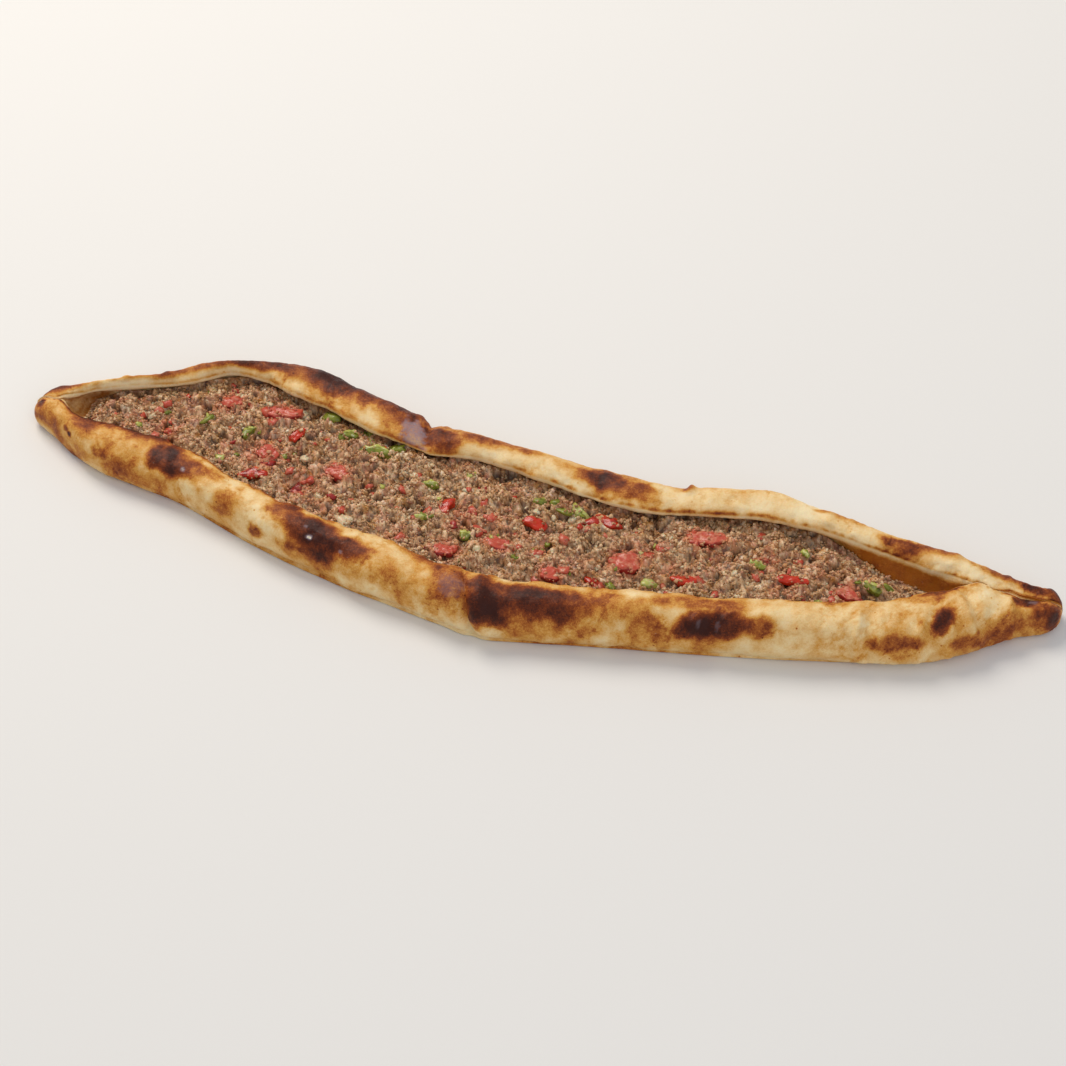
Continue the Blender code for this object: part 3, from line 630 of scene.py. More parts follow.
def makeDoughMaterial():
    look = doughLook
    material, shader, add = newMaterial("bakedDough")
    place = add("TexCoord", output="Object")
    names = ("bake", "oil", "bloom")
    bake, oil, bloom = (add("Attribute", {"attribute_name": name}, output="Fac") for name in names)
    blotch = add("TexNoise", inputs=patches(place, look["blotchMm"], 4.0))
    speckle = add("TexNoise", inputs=patches(place, look["speckleMm"], 3.0, 0.65))
    grain = add("TexNoise", inputs=patches(place, look["grainMm"], 2.0))
    amount = add("Math", timesPlus, (blotch, look["blotch"], bake))
    # scorched skin is speckled, as its bubbles burn first
    swing = add("Math", timesPlusHeld, (bake, *look["swingFrom"]))
    swing = add("Math", timesPlus, (swing, look["fine"], look["fine"]))
    fine = add("Math", inputs=(speckle, grain))
    fine = add("Math", inputs=(fine, -1.0))
    amount = add("Math", timesPlus, (fine, swing, amount))
    # a few pinholes where small bubbles burst and browned
    speckPlace = {"Vector": place, "Scale": 1 / (look["speckEveryMm"] * mm)}
    speck = add("TexVoronoi", inputs=speckPlace, output="Distance")
    sharp = look["speckSharp"]
    speck = add("Math", timesPlusHeld, (speck, -sharp, sharp * look["speckShare"]))
    some = add("Math", timesPlusHeld, (blotch, *look["speckFrom"]))
    speck = add("Math", times, (speck, some))
    amount = add("Math", timesPlus, (speck, look["speck"], amount))
    # the blotches' own middle value is taken off again
    amount = add("Math", inputs=(amount, look["middle"]))
    steps = [(position, look[name]) for position, name in look["steps"]]
    colour = add("ValToRGB", inputs=(amount,), stops=steps)
    # oil stain, which in the cavity at the right end is also painted shade under the lip
    patchy = add("Math", inputs=(speckle, look["oilShadeSpread"]))
    oilShadeShare = add("Math", timesHeld, (oil, patchy))
    colour = add("Mix", colours, {0: oilShadeShare, 6: colour, 7: look["oilAndShadeColour"]}, 2)
    # painted sheen: grey-purple over scorched skin, turning into a painted white highlight in the flour
    # colour at its strongest spots
    sheenShare = add("Math", inputs=(speckle, look["sheenSpread"]))
    sheenShare = add("Math", timesHeld, (bloom, sheenShare))
    white = add("Math", timesPlusHeld, (bloom, *look["highlightFrom"]))
    sheenColour = add("Mix", colours, {0: white, 6: look["bloom"], 7: look["flour"]}, 2)
    colour = add("Mix", colours, {0: sheenShare, 6: colour, 7: sheenColour}, 2)
    flour = add("TexNoise", inputs=patches(place, look["flourMm"], 5.0, 0.7))
    flour = add("Math", timesPlusHeld, (flour, *look["flourFrom"]))
    flour = add("Math", times, (flour, look["flourShare"]))
    colour = add("Mix", colours, {0: flour, 6: colour, 7: look["flour"]}, 2)
    burnt = add("Math", timesPlusHeld, (bake, *look["burntFrom"]))
    change = look["charRoughness"] - look["roughness"]
    rough = add("Math", timesPlus, (burnt, change, look["roughness"] - look["blotchRough"] / 2))
    rough = add("Math", timesPlus, (sheenShare, look["sheenRough"], rough))
    rough = add("Math", timesPlus, (blotch, look["blotchRough"], rough))
    height = add("Math", timesPlus, (grain, 0.5, speckle))
    setSurface(add, shader, look, colour, rough, height)
    shader.inputs["Specular IOR Level"].default_value = look["shine"]
    return material


makeCrust(makeDoughMaterial())


filling = {
    "left": -207.0, "right": 176.0, "top": 12.2, "edge": 1.3, "drop": 4.0,    # as in the solids
    "fadeLeft": 14.0, "fadeRight": 28.0, "end": 1.2, "gap": 0.35, "wallGap": 0.455, "uneven": (2.2, 13.0),
    "spread": 60.0, "stations": 700, "columns": 92,
    "below": 0.75,               # how far the grains lie under the solid's surface, for loose crumbs above
    "swell": 2.3, "swellMm": 11.0, "clump": 1.8, "clumpMm": 4.6, "stretch": [1, 1, 0.6],
    "grain": 0.9, "grainMm": 1.8, "grainRound": 0.72, "bend": 0.7, "bendMm": 2.2,
    "fine": [(0.22, 0.8, 47)], "poreDepth": 2.0, "poreMm": 3.8, "poreFrom": 0.32,
    "juiceReach": 3.0,           # how far the juice has run out of a piece of tomato
    "juiceNear": 0.9, "juiceAll": 0.22, "juicePatches": [(0.8, 2.4, 32)],
    "bank": 0.6,                 # how high the meat stands against a piece of vegetable
}
toppingKinds = ("tomato", "red_pepper", "green_pepper")
# places where tomato juice has tinted the meat: x, y, reach, strength
juices = [
    (-166, 13, 9, 0.7), (-182, 14, 6, 0.5), (-150, 30, 7, 0.6), (-120, 8, 11, 1.0), (-122, 22, 7, 0.5),
    (-98, -4, 9, 0.7), (-92, 6, 8, 0.4), (-84, -16, 7, 0.5), (-48, -22, 7, 0.5), (-24, -6, 9, 0.7),
    (-10, -4, 8, 0.6), (4, -10, 7, 0.5), (14, -16, 6, 0.5), (34, -20, 7, 0.4), (52, -10, 9, 0.9),
    (60, -4, 7, 0.6), (72, -14, 7, 0.6), (84, -2, 6, 0.4), (108, 4, 8, 0.6), (118, -10, 8, 0.5),
    (142, -6, 8, 0.7), (-136, 6, 7, 0.5), (-60, 4, 6, 0.3), (90, 10, 6, 0.4), (128, 6, 7, 0.5),
]


def fillingHeight(x, across):
    left = float(ease((x - filling["left"]) / filling["fadeLeft"]))
    right = float(ease((filling["right"] - x) / filling["fadeRight"]))
    edge = filling["edge"] * abs(2.0 * across - 1.0) ** 3
    drop = filling["drop"] * leanShare(x) * across ** 3
    full = filling["top"] - edge - drop + uneven(x, filling["spread"] * across, 5.0, *filling["uneven"])
    return mix(boat["floor"] + filling["gap"] + filling["end"], full, min(left, right))


def wallAt(inner, z):
    for upper, lower in zip(inner, inner[1:]):
        if z >= lower[1]:
            return mix(lower[0], upper[0], min(1.0, (z - lower[1]) / (upper[1] - lower[1])))
    return inner[-1][0]


# the core's section at x: the top from near wall to far wall, then round underneath; and its open part
def fillingSection(x):
    lipNear, lipFar = measures(x)[2:4]
    bottom = boat["floor"] + filling["gap"]
    walls = []
    for side, sideShape in zip((-1, 1), bothSections(x)):
        inner = sideShape[len(boat["outside"]):]
        top = min(fillingHeight(x, 0.0 if side < 0 else 1.0), inner[1][1] - 2.0 * filling["gap"])
        walls.append((inner, side, top))
    gap = filling["wallGap"]
    ends = [wallAt(inner, top) - side * gap for inner, side, top in walls]
    feet = [wallAt(inner, bottom) - side * gap for inner, side, top in walls]
    lowNear, lowFar = walls[0][2], walls[1][2]
    openNear, openFar = max(lipNear, ends[0] + 1.0), min(lipFar, ends[1] - 1.0)
    section = []
    for share in np.linspace(0.0, 1.0, filling["columns"]):
        y = mix(ends[0], ends[1], share)
        across = (y - openNear) / (openFar - openNear)
        z = fillingHeight(x, min(1.0, max(0.0, across)))
        if across < 0.0:
            z = mix(z, lowNear, -across * (openFar - openNear) / (openNear - ends[0]))
        if across > 1.0:
            z = mix(z, lowFar, (across - 1.0) * (openFar - openNear) / (ends[1] - openFar))
        section.append((y, z))
    section.append(((ends[1] + feet[1]) / 2, (lowFar + bottom) / 2))
    section += [(feet[1], bottom), ((feet[0] + feet[1]) / 2, bottom), (feet[0], bottom)]
    section.append(((ends[0] + feet[0]) / 2, (lowNear + bottom) / 2))
    return section, openNear, openFar


# the boxes around the solids' pieces of vegetable, of one kind or of all kinds
def toppingBoxes(kinds=toppingKinds):
    return np.array([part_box(name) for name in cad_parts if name.startswith(kinds)]) / mm


def juiceAmount(points):
    amount = filling["juiceAll"] * np.clip(lumps(points, 14.0, 31) + 0.3, 0, 1)
    for x, y, reach, strength in juices:
        away = np.hypot(points[:, 0] - x, points[:, 1] - y)
        amount = np.maximum(amount, strength * hill(away / reach))
    for low, high in toppingBoxes("tomato"):
        away = ellipseReach(points, low, high, filling["juiceReach"])
        amount = np.maximum(amount, filling["juiceNear"] * ease((1.25 - away) / 0.7))
    return np.clip(amount * (0.75 + layered(points, filling["juicePatches"])), 0.0, 1.0)


# the minced meat in the boat, as one lumpy surface, with painted shade in its pores and between its grains;
# also returns where loose crumbs may lie
def makeFillingCore(material):
    places = np.linspace(filling["left"] - 0.3, filling["right"] + 0.3, filling["stations"])
    sections, opens = [], []
    for x in places:
        section, openNear, openFar = fillingSection(x)
        sections.append(section)
        opens.append((openNear, openFar))
    yz = np.array(sections)
    opens = np.array(opens)
    grid = np.concatenate([np.broadcast_to(places[:, None, None], (*yz.shape[:2], 1)), yz], 2)
    rows, columns = grid.shape[:2]
    points = grid.reshape(-1, 3).copy()
    isTop = np.broadcast_to(np.arange(columns) < filling["columns"], (rows, columns)).reshape(-1)
    flat = points * filling["stretch"]
    sway = np.stack([lumps(flat, filling["bendMm"], salt) for salt in (41, 42, 43)], 1)
    bent = flat + filling["bend"] * sway
    near, number = grains(bent, filling["grainMm"], 8)
    dome = np.clip(1.0 - (near / filling["grainRound"]) ** 2, 0.0, 1.0)
    pore = ease((-lumps(flat, filling["poreMm"], 44) - filling["poreFrom"]) / 0.35)
    swell = lumps(flat, filling["swellMm"], 45)
    clump = lumps(flat, filling["clumpMm"], 46)
    height = filling["grain"] * (dome - 0.6) * mix(0.7, 1.3, number) + filling["swell"] * swell
    height += layered(points, filling["fine"])
    height += filling["clump"] * clump - filling["poreDepth"] * pore - filling["below"]
    for low, high in toppingBoxes():
        height += filling["bank"] * hill((ellipseReach(points, low, high) - 1.1) / 0.35)
    fromEdge = np.minimum(np.arange(columns), filling["columns"] - 1 - np.arange(columns))
    fade = np.broadcast_to(ease(fromEdge / 4.0), (rows, columns)).reshape(-1)
    endFade = ease(np.minimum(points[:, 0] - places[0], places[-1] - points[:, 0]) / 4.0)
    points[:, 2] = np.maximum(points[:, 2] + height * fade * endFade * isTop, boat["floor"] + filling["gap"])
    # painted shade: darker in the pores and between the grains, lighter on the raised clumps and swells
    hollow = np.clip(0.9 * pore + 0.85 * ease((0.45 - dome) / 0.45) - 0.25 * clump - 0.2 * swell, 0.0, 1.0)
    tips = np.concatenate([points[:columns].mean(0)[None], points[-columns:].mean(0)[None]])
    tips[0, 0] -= 0.5
    tips[1, 0] += 0.5
    juice = juiceAmount(points)
    attributes = {"hollow": hollow, "tint": number, "juice": juice}
    attributes = {name: np.append(values, [0.0, 0.0]) for name, values in attributes.items()}
    faces = gridFaces(rows, columns, True)[:, ::-1].tolist()
    faces += [face[::-1] for face in fanFaces(rows, columns)]
    piece = makePiece("fillingCore", np.concatenate([points, tips]), faces, material, attributes)
    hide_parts("filling")
    print("filling core:", len(faces), "faces")
    return points.reshape(rows, columns, 3)[:, :filling["columns"]], opens


# minced beef and lamb, cooked grey-brown and moist with fat; the pale grains are fat and onion,
# and tomato juice makes it rosy
meatLook = {
    "dark": "#5C3A1C", "brown": "#A2764C", "beige": "#DDB98C", "pale": "#F6E8CE",
    "steps": [(0.05, "dark"), (0.35, "brown"), (0.62, "beige"), (0.9, "pale")],
    "gold": "#CC8E38", "rose": "#D08876",
    "hues": [("gold", 0.75, (0, 0, 0)), ("rose", 0.65, (0.31, 0.17, 0))],    # name, share, pattern's shift
    # the dark brown here is a painted shade colour for pores and gaps between grains, with how far it goes
    "juice": "#D87634", "pink": "#D07E6E", "juiceShare": 0.85, "shadeColour": "#43240F", "shadeShare": 0.8,
    "roughness": 0.32, "ior": 1.42, "softness": 0.3, "softMm": 1.2, "softRadius": (1.0, 0.45, 0.3),
    "bump": 0.6, "bumpMm": 0.3, "speckleMm": 0.6, "patchMm": 11.0, "hueMm": 5.0, "juiceMm": 3.0,
    "tint": 0.5, "speckle": 0.55, "patch": 0.5, "middle": -0.30,     # how much each lightens the meat
    "hueFrom": (5.0, -2.6), "speckleRough": 0.3,
}


def makeMeatMaterial():
    look = meatLook
    material, shader, add = newMaterial("mincedMeat")
    place = add("TexCoord", output="Object")
    names = ("tint", "juice", "hollow")
    tint, juice, hollow = (add("Attribute", {"attribute_name": name}, output="Fac") for name in names)
    speckle = add("TexNoise", inputs=patches(place, look["speckleMm"], 3.0, 0.65))
    patch = add("TexNoise", inputs=patches(place, look["patchMm"]))
    amount = add("Math", timesPlus, (tint, look["tint"], look["middle"]))
    amount = add("Math", timesPlus, (speckle, look["speckle"], amount))
    amount = add("Math", timesPlus, (patch, look["patch"], amount))
    steps = [(position, look[name]) for position, name in look["steps"]]
    colour = add("ValToRGB", inputs=(amount,), stops=steps)
    # fat has turned some of the meat golden, and some is still rosy
    for hue, share, offset in look["hues"]:
        moved = add("Mapping", inputs={"Vector": place, "Location": offset})
        hues = add("TexNoise", inputs=patches(moved, look["hueMm"], 4.0, 0.7))
        hues = add("Math", timesPlusHeld, (hues, *look["hueFrom"]))
        hues = add("Math", times, (hues, share))
        colour = add("Mix", colours, {0: hues, 6: colour, 7: look[hue]}, 2)
    red = add("TexNoise", inputs=patches(place, look["juiceMm"], 2.0))
    red = add("Mix", colours, {0: red, 6: look["juice"], 7: look["pink"]}, 2)
    wet = add("Math", timesHeld, (juice, look["juiceShare"]))
    colour = add("Mix", colours, {0: wet, 6: colour, 7: red}, 2)
    # painted shade in the pores and between the grains
    shade = add("Math", timesHeld, (hollow, look["shadeShare"]))
    colour = add("Mix", colours, {0: shade, 6: colour, 7: look["shadeColour"]}, 2)
    swing = look["speckleRough"]
    rough = add("Math", timesPlus, (speckle, swing, look["roughness"] - swing / 2))
    setSurface(add, shader, look, colour, rough, speckle)
    return material


# vegetable flesh: skin and cut flesh of its own colours, wet, so it shines, and it lets some light in
wetFlesh = {
    "roughness": 0.26, "ior": 1.38, "coat": 0.12, "coatRoughness": 0.12, "bump": 0.35, "bumpMm": 0.4,
    "softness": 0.2, "softMm": 1.5, "softRadius": (1.0, 0.35, 0.2),
    "speckleMm": 0.7, "smearMm": 3.2, "smearShare": 0.7, "smearFrom": (8.0, -4.4),
    # how sharply the veins show, and by piece: a slope and an offset for pale flesh and for deep skin
    "lightVeins": 4.0, "lightFrom": (0.7, -2.35), "deepVeins": -3.0, "deepFrom": (-0.5, 2.0),
    "veinRough": 0.25, "roughDrop": 0.08,
}
vegetables = {
    "tomato": {"skin": "#9C241C", "flesh": "#BA4A34", "light": "#D08A6C", "deep": "#74181E",
               "smear": "#BE7450", "veinMm": 2.2, "roughness": 0.30},
    "red_pepper": {"skin": "#BC2A0A", "flesh": "#CC4818", "light": "#E08044", "deep": "#781206",
                   "smear": "#B4582C", "veinMm": 2.6, "roughness": 0.20, "softness": 0.15},
    "green_pepper": {"skin": "#82882A", "flesh": "#B0B054", "light": "#D2CE96", "deep": "#565C1C",
                     "smear": "#9C8C48", "veinMm": 2.2, "smearShare": 0.5},
    "onion": {"skin": "#C2A27C", "flesh": "#D2B994", "light": "#E2D0B0", "deep": "#A07A55",
              "smear": "#C09468", "veinMm": 1.6, "softness": 0.4},
}


def makeVegetableMaterial(kind):
    look = {**wetFlesh, **vegetables[kind]}
    material, shader, add = newMaterial(kind + "Flesh")
    place = add("TexCoord", output="Object")
    tint, skin = (add("Attribute", {"attribute_name": name}, output="Fac") for name in ("tint", "skin"))
    vein = add("TexNoise", inputs=patches(place, look["veinMm"], 4.0))
    speckle = add("TexNoise", inputs=patches(place, look["speckleMm"]))
    light = add("Math", timesPlus, (tint, *look["lightFrom"]))
    light = add("Math", timesPlusHeld, (vein, look["lightVeins"], light))
    flesh = add("Mix", colours, {0: light, 6: look["flesh"], 7: look["light"]}, 2)
    deep = add("Math", timesPlus, (tint, *look["deepFrom"]))
    deep = add("Math", timesPlusHeld, (vein, look["deepVeins"], deep))
    peel = add("Mix", colours, {0: deep, 6: look["skin"], 7: look["deep"]}, 2)
    colour = add("Mix", colours, {0: skin, 6: flesh, 7: peel}, 2)
    # meat juice and fat smeared over it
    smear = add("TexNoise", inputs=patches(place, look["smearMm"], 4.0, 0.7))
    smear = add("Math", timesPlusHeld, (smear, *look["smearFrom"]))
    smear = add("Math", times, (smear, look["smearShare"]))
    colour = add("Mix", colours, {0: smear, 6: colour, 7: look["smear"]}, 2)
    rough = add("Math", timesPlus, (vein, look["veinRough"], look["roughness"] - look["roughDrop"]))
    height = add("Math", timesPlus, (speckle, 0.4, vein))
    setSurface(add, shader, look, colour, rough, height)
    shader.inputs["Coat Weight"].default_value = look["coat"]
    shader.inputs["Coat Roughness"].default_value = look["coatRoughness"]
    return material


topping = {
    "levels": 2, "lift": -0.15,
    "torn": [(0.18, 0.9, 54), (0.06, 0.3, 55)],      # how far the outline is torn, as a share of its size
    "swell": [(1.0, 4.0, 51)], "ripple": [(0.38, 1.5, 52)], "patchy": [(0.18, 2.5, 53)],
    "cutAt": 0.3, "cutTilt": 0.45, "cutLeft": 0.4,   # the knife's face: how high it lies and how it slopes
}
# which way the skin faces: on tomato the cut face is on top, on pepper the skin is, and its far edge is cut
skinFaces = {
    "tomato": ((0.10, -0.95, -0.25), 0.30), "red_pepper": ((0.15, -0.65, 0.70), -0.25),
    "green_pepper": ((0.05, -0.92, 0.25), -0.05),
}


# the node's own mesh, welded and rounded: its points and outward directions in mm, and its faces
def roundedCopy(name):
    source = bpy.data.objects[name]
    copy = bpy.data.objects.new(name + "Rounded", source.data.copy())
    bpy.context.scene.collection.objects.link(copy)
    copy.matrix_world = source.matrix_world
    welding = bmesh.new()
    welding.from_mesh(copy.data)
    bmesh.ops.remove_doubles(welding, verts=welding.verts[:], dist=0.01 * mm)
    welding.to_mesh(copy.data)
    welding.free()
    rounding = copy.modifiers.new("rounding", "SUBSURF")
    rounding.levels = topping["levels"]
    rounding.render_levels = topping["levels"]
    graph = bpy.context.evaluated_depsgraph_get()
    made = bpy.data.meshes.new_from_object(copy.evaluated_get(graph))
    world = np.array(copy.matrix_world)
    bpy.data.objects.remove(copy)
    count = len(made.vertices)
    points = np.empty(count * 3, np.float32)
    normals = np.empty(count * 3, np.float32)
    made.vertices.foreach_get("co", points)
    made.vertex_normals.foreach_get("vector", normals)
    points = (points.reshape(-1, 3) @ world[:3, :3].T + world[:3, 3]) / mm
    normals = normals.reshape(-1, 3) @ world[:3, :3].T
    normals /= np.maximum(np.linalg.norm(normals, axis=1, keepdims=True), 1e-9)
    faces = [tuple(face.vertices) for face in made.polygons]
    bpy.data.meshes.remove(made)
    return points, normals, faces


# a cut piece in place of its plain solid: torn outline, a knife's face on top, skin on one side
def detailTopping(name, material, slotName):
    points, normals, faces = roundedCopy(name)
    low, high = points.min(0), points.max(0)
    middle, half = (low + high) / 2, (high - low) / 2
    salt = sum(ord(letter) * (place + 3) for place, letter in enumerate(name)) % 97
    away = (points - middle) / half
    ring = away[:, :2] / np.maximum(np.hypot(away[:, 0], away[:, 1])[:, None], 1e-6)
    turn = np.column_stack([ring, np.full(len(points), salt * 0.73)])
    torn = layered(turn, topping["torn"])
    points[:, :2] = middle[:2] + (points[:, :2] - middle[:2]) * (1.0 + torn[:, None])
    points = points + normals * layered(points, topping["swell"])[:, None]
    tilt = (cellRandom(np.array([[salt, 3, 7], [salt, 5, 1]]), 5) * 2 - 1) * topping["cutTilt"]
    level = middle[2] + half[2] * (topping["cutAt"] + away[:, :2] @ tilt)
    above = points[:, 2] - level
    points[:, 2] = np.where(above > 0, level + topping["cutLeft"] * above, points[:, 2])
    cut = ease(above / (0.2 * half[2]))
    facing, least = skinFaces[slotName]
    skin = ease((normals @ np.array(facing) + layered(points, topping["patchy"]) - least) / 0.3)
    if slotName == "tomato":
        skin = skin * (1.0 - cut)
    ripple = mix(1.2, 0.4, skin) * layered(points, topping["ripple"])
    points = points + normals * ripple[:, None]
    tint = np.full(len(points), cellRandom(np.array([salt, 1, 2]), 9))
    points[:, 2] += topping["lift"]
    piece = makePiece(name + "Cut", points, faces, material, {"skin": skin, "tint": tint})
    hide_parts(name)


# balls of 12 or 42 points for crumbs, each a little uneven
def ballShape(subdivisions):
    holder = bpy.data.meshes.new("ball")
    ball = bmesh.new()
    bmesh.ops.create_icosphere(ball, subdivisions=subdivisions, radius=1.0)
    ball.to_mesh(holder)
    ball.free()
    points = np.array([vert.co for vert in holder.vertices])
    faces = np.array([face.vertices for face in holder.polygons])
    bpy.data.meshes.remove(holder)
    return points, faces


# random turns, as an array of rotation matrices
def randomTurns(count):
    q = dice.normal(size=(count, 4))
    q /= np.linalg.norm(q, axis=1, keepdims=True)
    w, x, y, z = q.T
    return np.stack([
        np.stack([1 - 2 * (y * y + z * z), 2 * (x * y - z * w), 2 * (x * z + y * w)], 1),
        np.stack([2 * (x * y + z * w), 1 - 2 * (x * x + z * z), 2 * (y * z - x * w)], 1),
        np.stack([2 * (x * z - y * w), 2 * (y * z + x * w), 1 - 2 * (x * x + y * y)], 1)], 1)


# many small pieces in one mesh: a middle, three half sizes and a tint for each, and extra values by name
def scatter(name, spots, halves, tints, subdivisions, roughen, flatLying, material, extra=None):
    ball, ballFaces = ballShape(subdivisions)
    if flatLying:
        ball = ball * mix(1.0, 1.0 / np.abs(ball).max(1, keepdims=True), crumbs["squareness"])
    count, corners = len(spots), len(ball)
    turns = randomTurns(count)
    shape = ball[None] * (1.0 + roughen * dice.normal(size=(count, corners, 1)).clip(-2, 2))
    shape = shape * halves[:, None, :]
    if flatLying:
        angle = dice.uniform(0, 2 * math.pi, count)
        tilt = dice.normal(0, 0.25, (count, 2))
        c, s = np.cos(angle), np.sin(angle)
        x = shape[:, :, 0] * c[:, None] - shape[:, :, 1] * s[:, None]
        y = shape[:, :, 0] * s[:, None] + shape[:, :, 1] * c[:, None]
        z = shape[:, :, 2] + x * tilt[:, :1] + y * tilt[:, 1:]
        shape = np.stack([x, y, z], 2)
    else:
        shape = np.einsum("nij,nkj->nki", turns, shape)
    points = (shape + spots[:, None]).reshape(-1, 3)
    faces = (ballFaces[None] + (np.arange(count) * corners)[:, None, None]).reshape(-1, 3)
    attributes = {"tint": np.repeat(tints, corners)}
    for label, values in (extra or {}).items():
        attributes[label] = values(points) if callable(values) else np.repeat(values, corners)
    piece = makePiece(name, points, faces, material, attributes)
    print(name + ":", count, "pieces,", len(faces), "triangles")


# picks places on the core's open surface, spread evenly over its area
def openSpots(surface, opens, count, margin=0.0):
    widths = opens[:, 1] - opens[:, 0] + 2 * margin
    row = dice.choice(len(surface), count, p=widths / widths.sum())
    y = opens[row, 0] - margin + dice.uniform(0, 1, count) * widths[row]
    start, end = surface[row, 0, 1], surface[row, -1, 1]
    column = np.clip((y - start) / (end - start) * (surface.shape[1] - 1), 0, surface.shape[1] - 1)
    spots = surface[row, np.round(column).astype(int)].copy()
    spots[:, :2] += dice.uniform(-0.28, 0.28, (count, 2))
    return spots


def nearestOn(surface, places):
    found = []
    for x, y in places:
        row = int(np.argmin(np.abs(surface[:, 0, 0] - x)))
        column = int(np.argmin(np.abs(surface[row, :, 1] - y)))
        found.append((x, y, surface[row, column, 2]))
    return np.array(found)


# crumbs lie against a piece of vegetable, and a few lie on top of it
def settle(spots, boxes, share):
    keep = np.ones(len(spots), bool)
    for low, high in boxes:
        reach = ellipseReach(spots, low, high)
        over = reach < share + crumbs["overlap"] * lumps(spots, 2.6, 62)
        keep &= ~over | (dice.uniform(0, 1, len(spots)) < crumbs["onTop"])
        rise = (high[2] - low[2]) / 2 * crumbs["topShare"] * np.sqrt(np.clip(1 - reach ** 2, 0, 1))
        top = (low[2] + high[2]) / 2 + rise
        spots[:, 2] = np.where(reach < 1, np.maximum(spots[:, 2], top), spots[:, 2])
    return spots[keep]


crumbs = {
    "large": 2300, "largeMm": (1.3, 2.9), "largeStrays": 34,
    "small": 8400, "smallMm": (0.7, 1.8), "smallStrays": 90, "strayReach": 4.6, "rough": 0.26,
    "onTop": 0.03, "topShare": 0.75, "overlap": 0.5,   # share left on a vegetable, and how high they sit
    "tomatoBits": 70, "tomatoMm": (2.2, 4.8), "greenBits": 30, "greenMm": (1.8, 3.6),
    "redBits": 10, "redMm": (2.0, 3.2), "onionBits": 120, "onionMm": (0.9, 2.6),
    "squareness": 0.8, "bitRough": 0.18, "bitsClear": 0.95, "favoured": 4,
    "skinned": {"tomato": 0.12, "red_pepper": 0.6, "green_pepper": 0.5, "filling": 0.3},
}
# vegetable bits that are big enough to see one by one: x, y, length, width, thickness
tomatoSpots = [
    (-145, 43, 5, 3.5, 1.6), (-20, 12, 6, 4, 2), (-40, -6, 6, 4.5, 2), (-33, -4, 7, 4, 2),
    (-12, -2, 8, 4, 2), (-21, -1, 6, 3.5, 2), (-47, -24, 6, 4, 2), (-15, -12, 4, 8, 2),
    (42, -28, 7, 5, 2.5), (59, -7, 9, 6, 2), (-75, -15, 5, 4, 2), (113, -21, 6, 4, 2),
    (102, 20, 7, 3.5, 2), (106, 6, 5, 5, 2), (-100, -6, 5, 8, 2), (-96, 0, 4, 9, 2), (-166, 13, 5, 4, 2),
    (-128, 33, 6, 5, 2.4), (-123, 28, 6, 6, 2.4), (-116, 4, 8, 6, 2.6), (-110, 10, 4, 6, 2),
    (62, -2, 5, 4, 2), (82, -15, 6, 4, 2), (12, -17, 6, 3, 1.8), (138, -10, 5, 4, 2),
    (-192, 14, 4, 3, 1.6), (-181, 6, 4, 3, 1.6), (150, -9, 5, 3.5, 2), (-66, -1, 4, 3, 1.6),
    (90, -20, 5, 3.5, 2),
]
greenSpots = [
    (-151, 22, 9, 4, 2), (-40, -11.5, 9, 3, 2), (-7.6, -13.8, 3.5, 6, 2), (4.6, -23.5, 5, 3, 1.8),
    (47, -27, 6, 3.5, 2), (62, -22, 7, 5, 2), (-180, 11, 4, 3, 1.8), (-138, 2, 4, 5, 2),
    (133, -13.6, 6, 3, 2), (122, 13, 6, 3, 1.8), (-80, 31, 12, 5, 2.4), (-64, 27, 9, 4, 2),
    (24, 11, 12, 5, 2.4), (-98, 37, 8, 5, 2.2), (160, 4, 5, 3, 2), (-170, 22, 4, 2.5, 1.6),
    (-28, 20, 5, 3, 1.6), (12, 13, 4, 6, 2),
]
onionSpots = [
    (-73, -22, 9, 6, 2.6), (65, 6.5, 4.5, 2, 1.6), (-27, 10, 4.5, 2, 1.6), (13, -18.6, 6, 3, 1.8),
    (-142, 40, 8, 4, 2), (-128, 39, 7, 4, 2.0), (-112, 39, 8, 5, 2), (6, 5, 5, 3.5, 2),
    (21, 7.4, 6, 3.5, 2), (-101, 10, 5, 4, 2), (-88, -10, 6, 3, 1.6), (-12, -24, 5, 3, 1.6),
    (-52, 14, 4, 3, 1.6), (96, -8, 4, 3, 1.6), (-176, 18, 5, 3, 1.6),
]


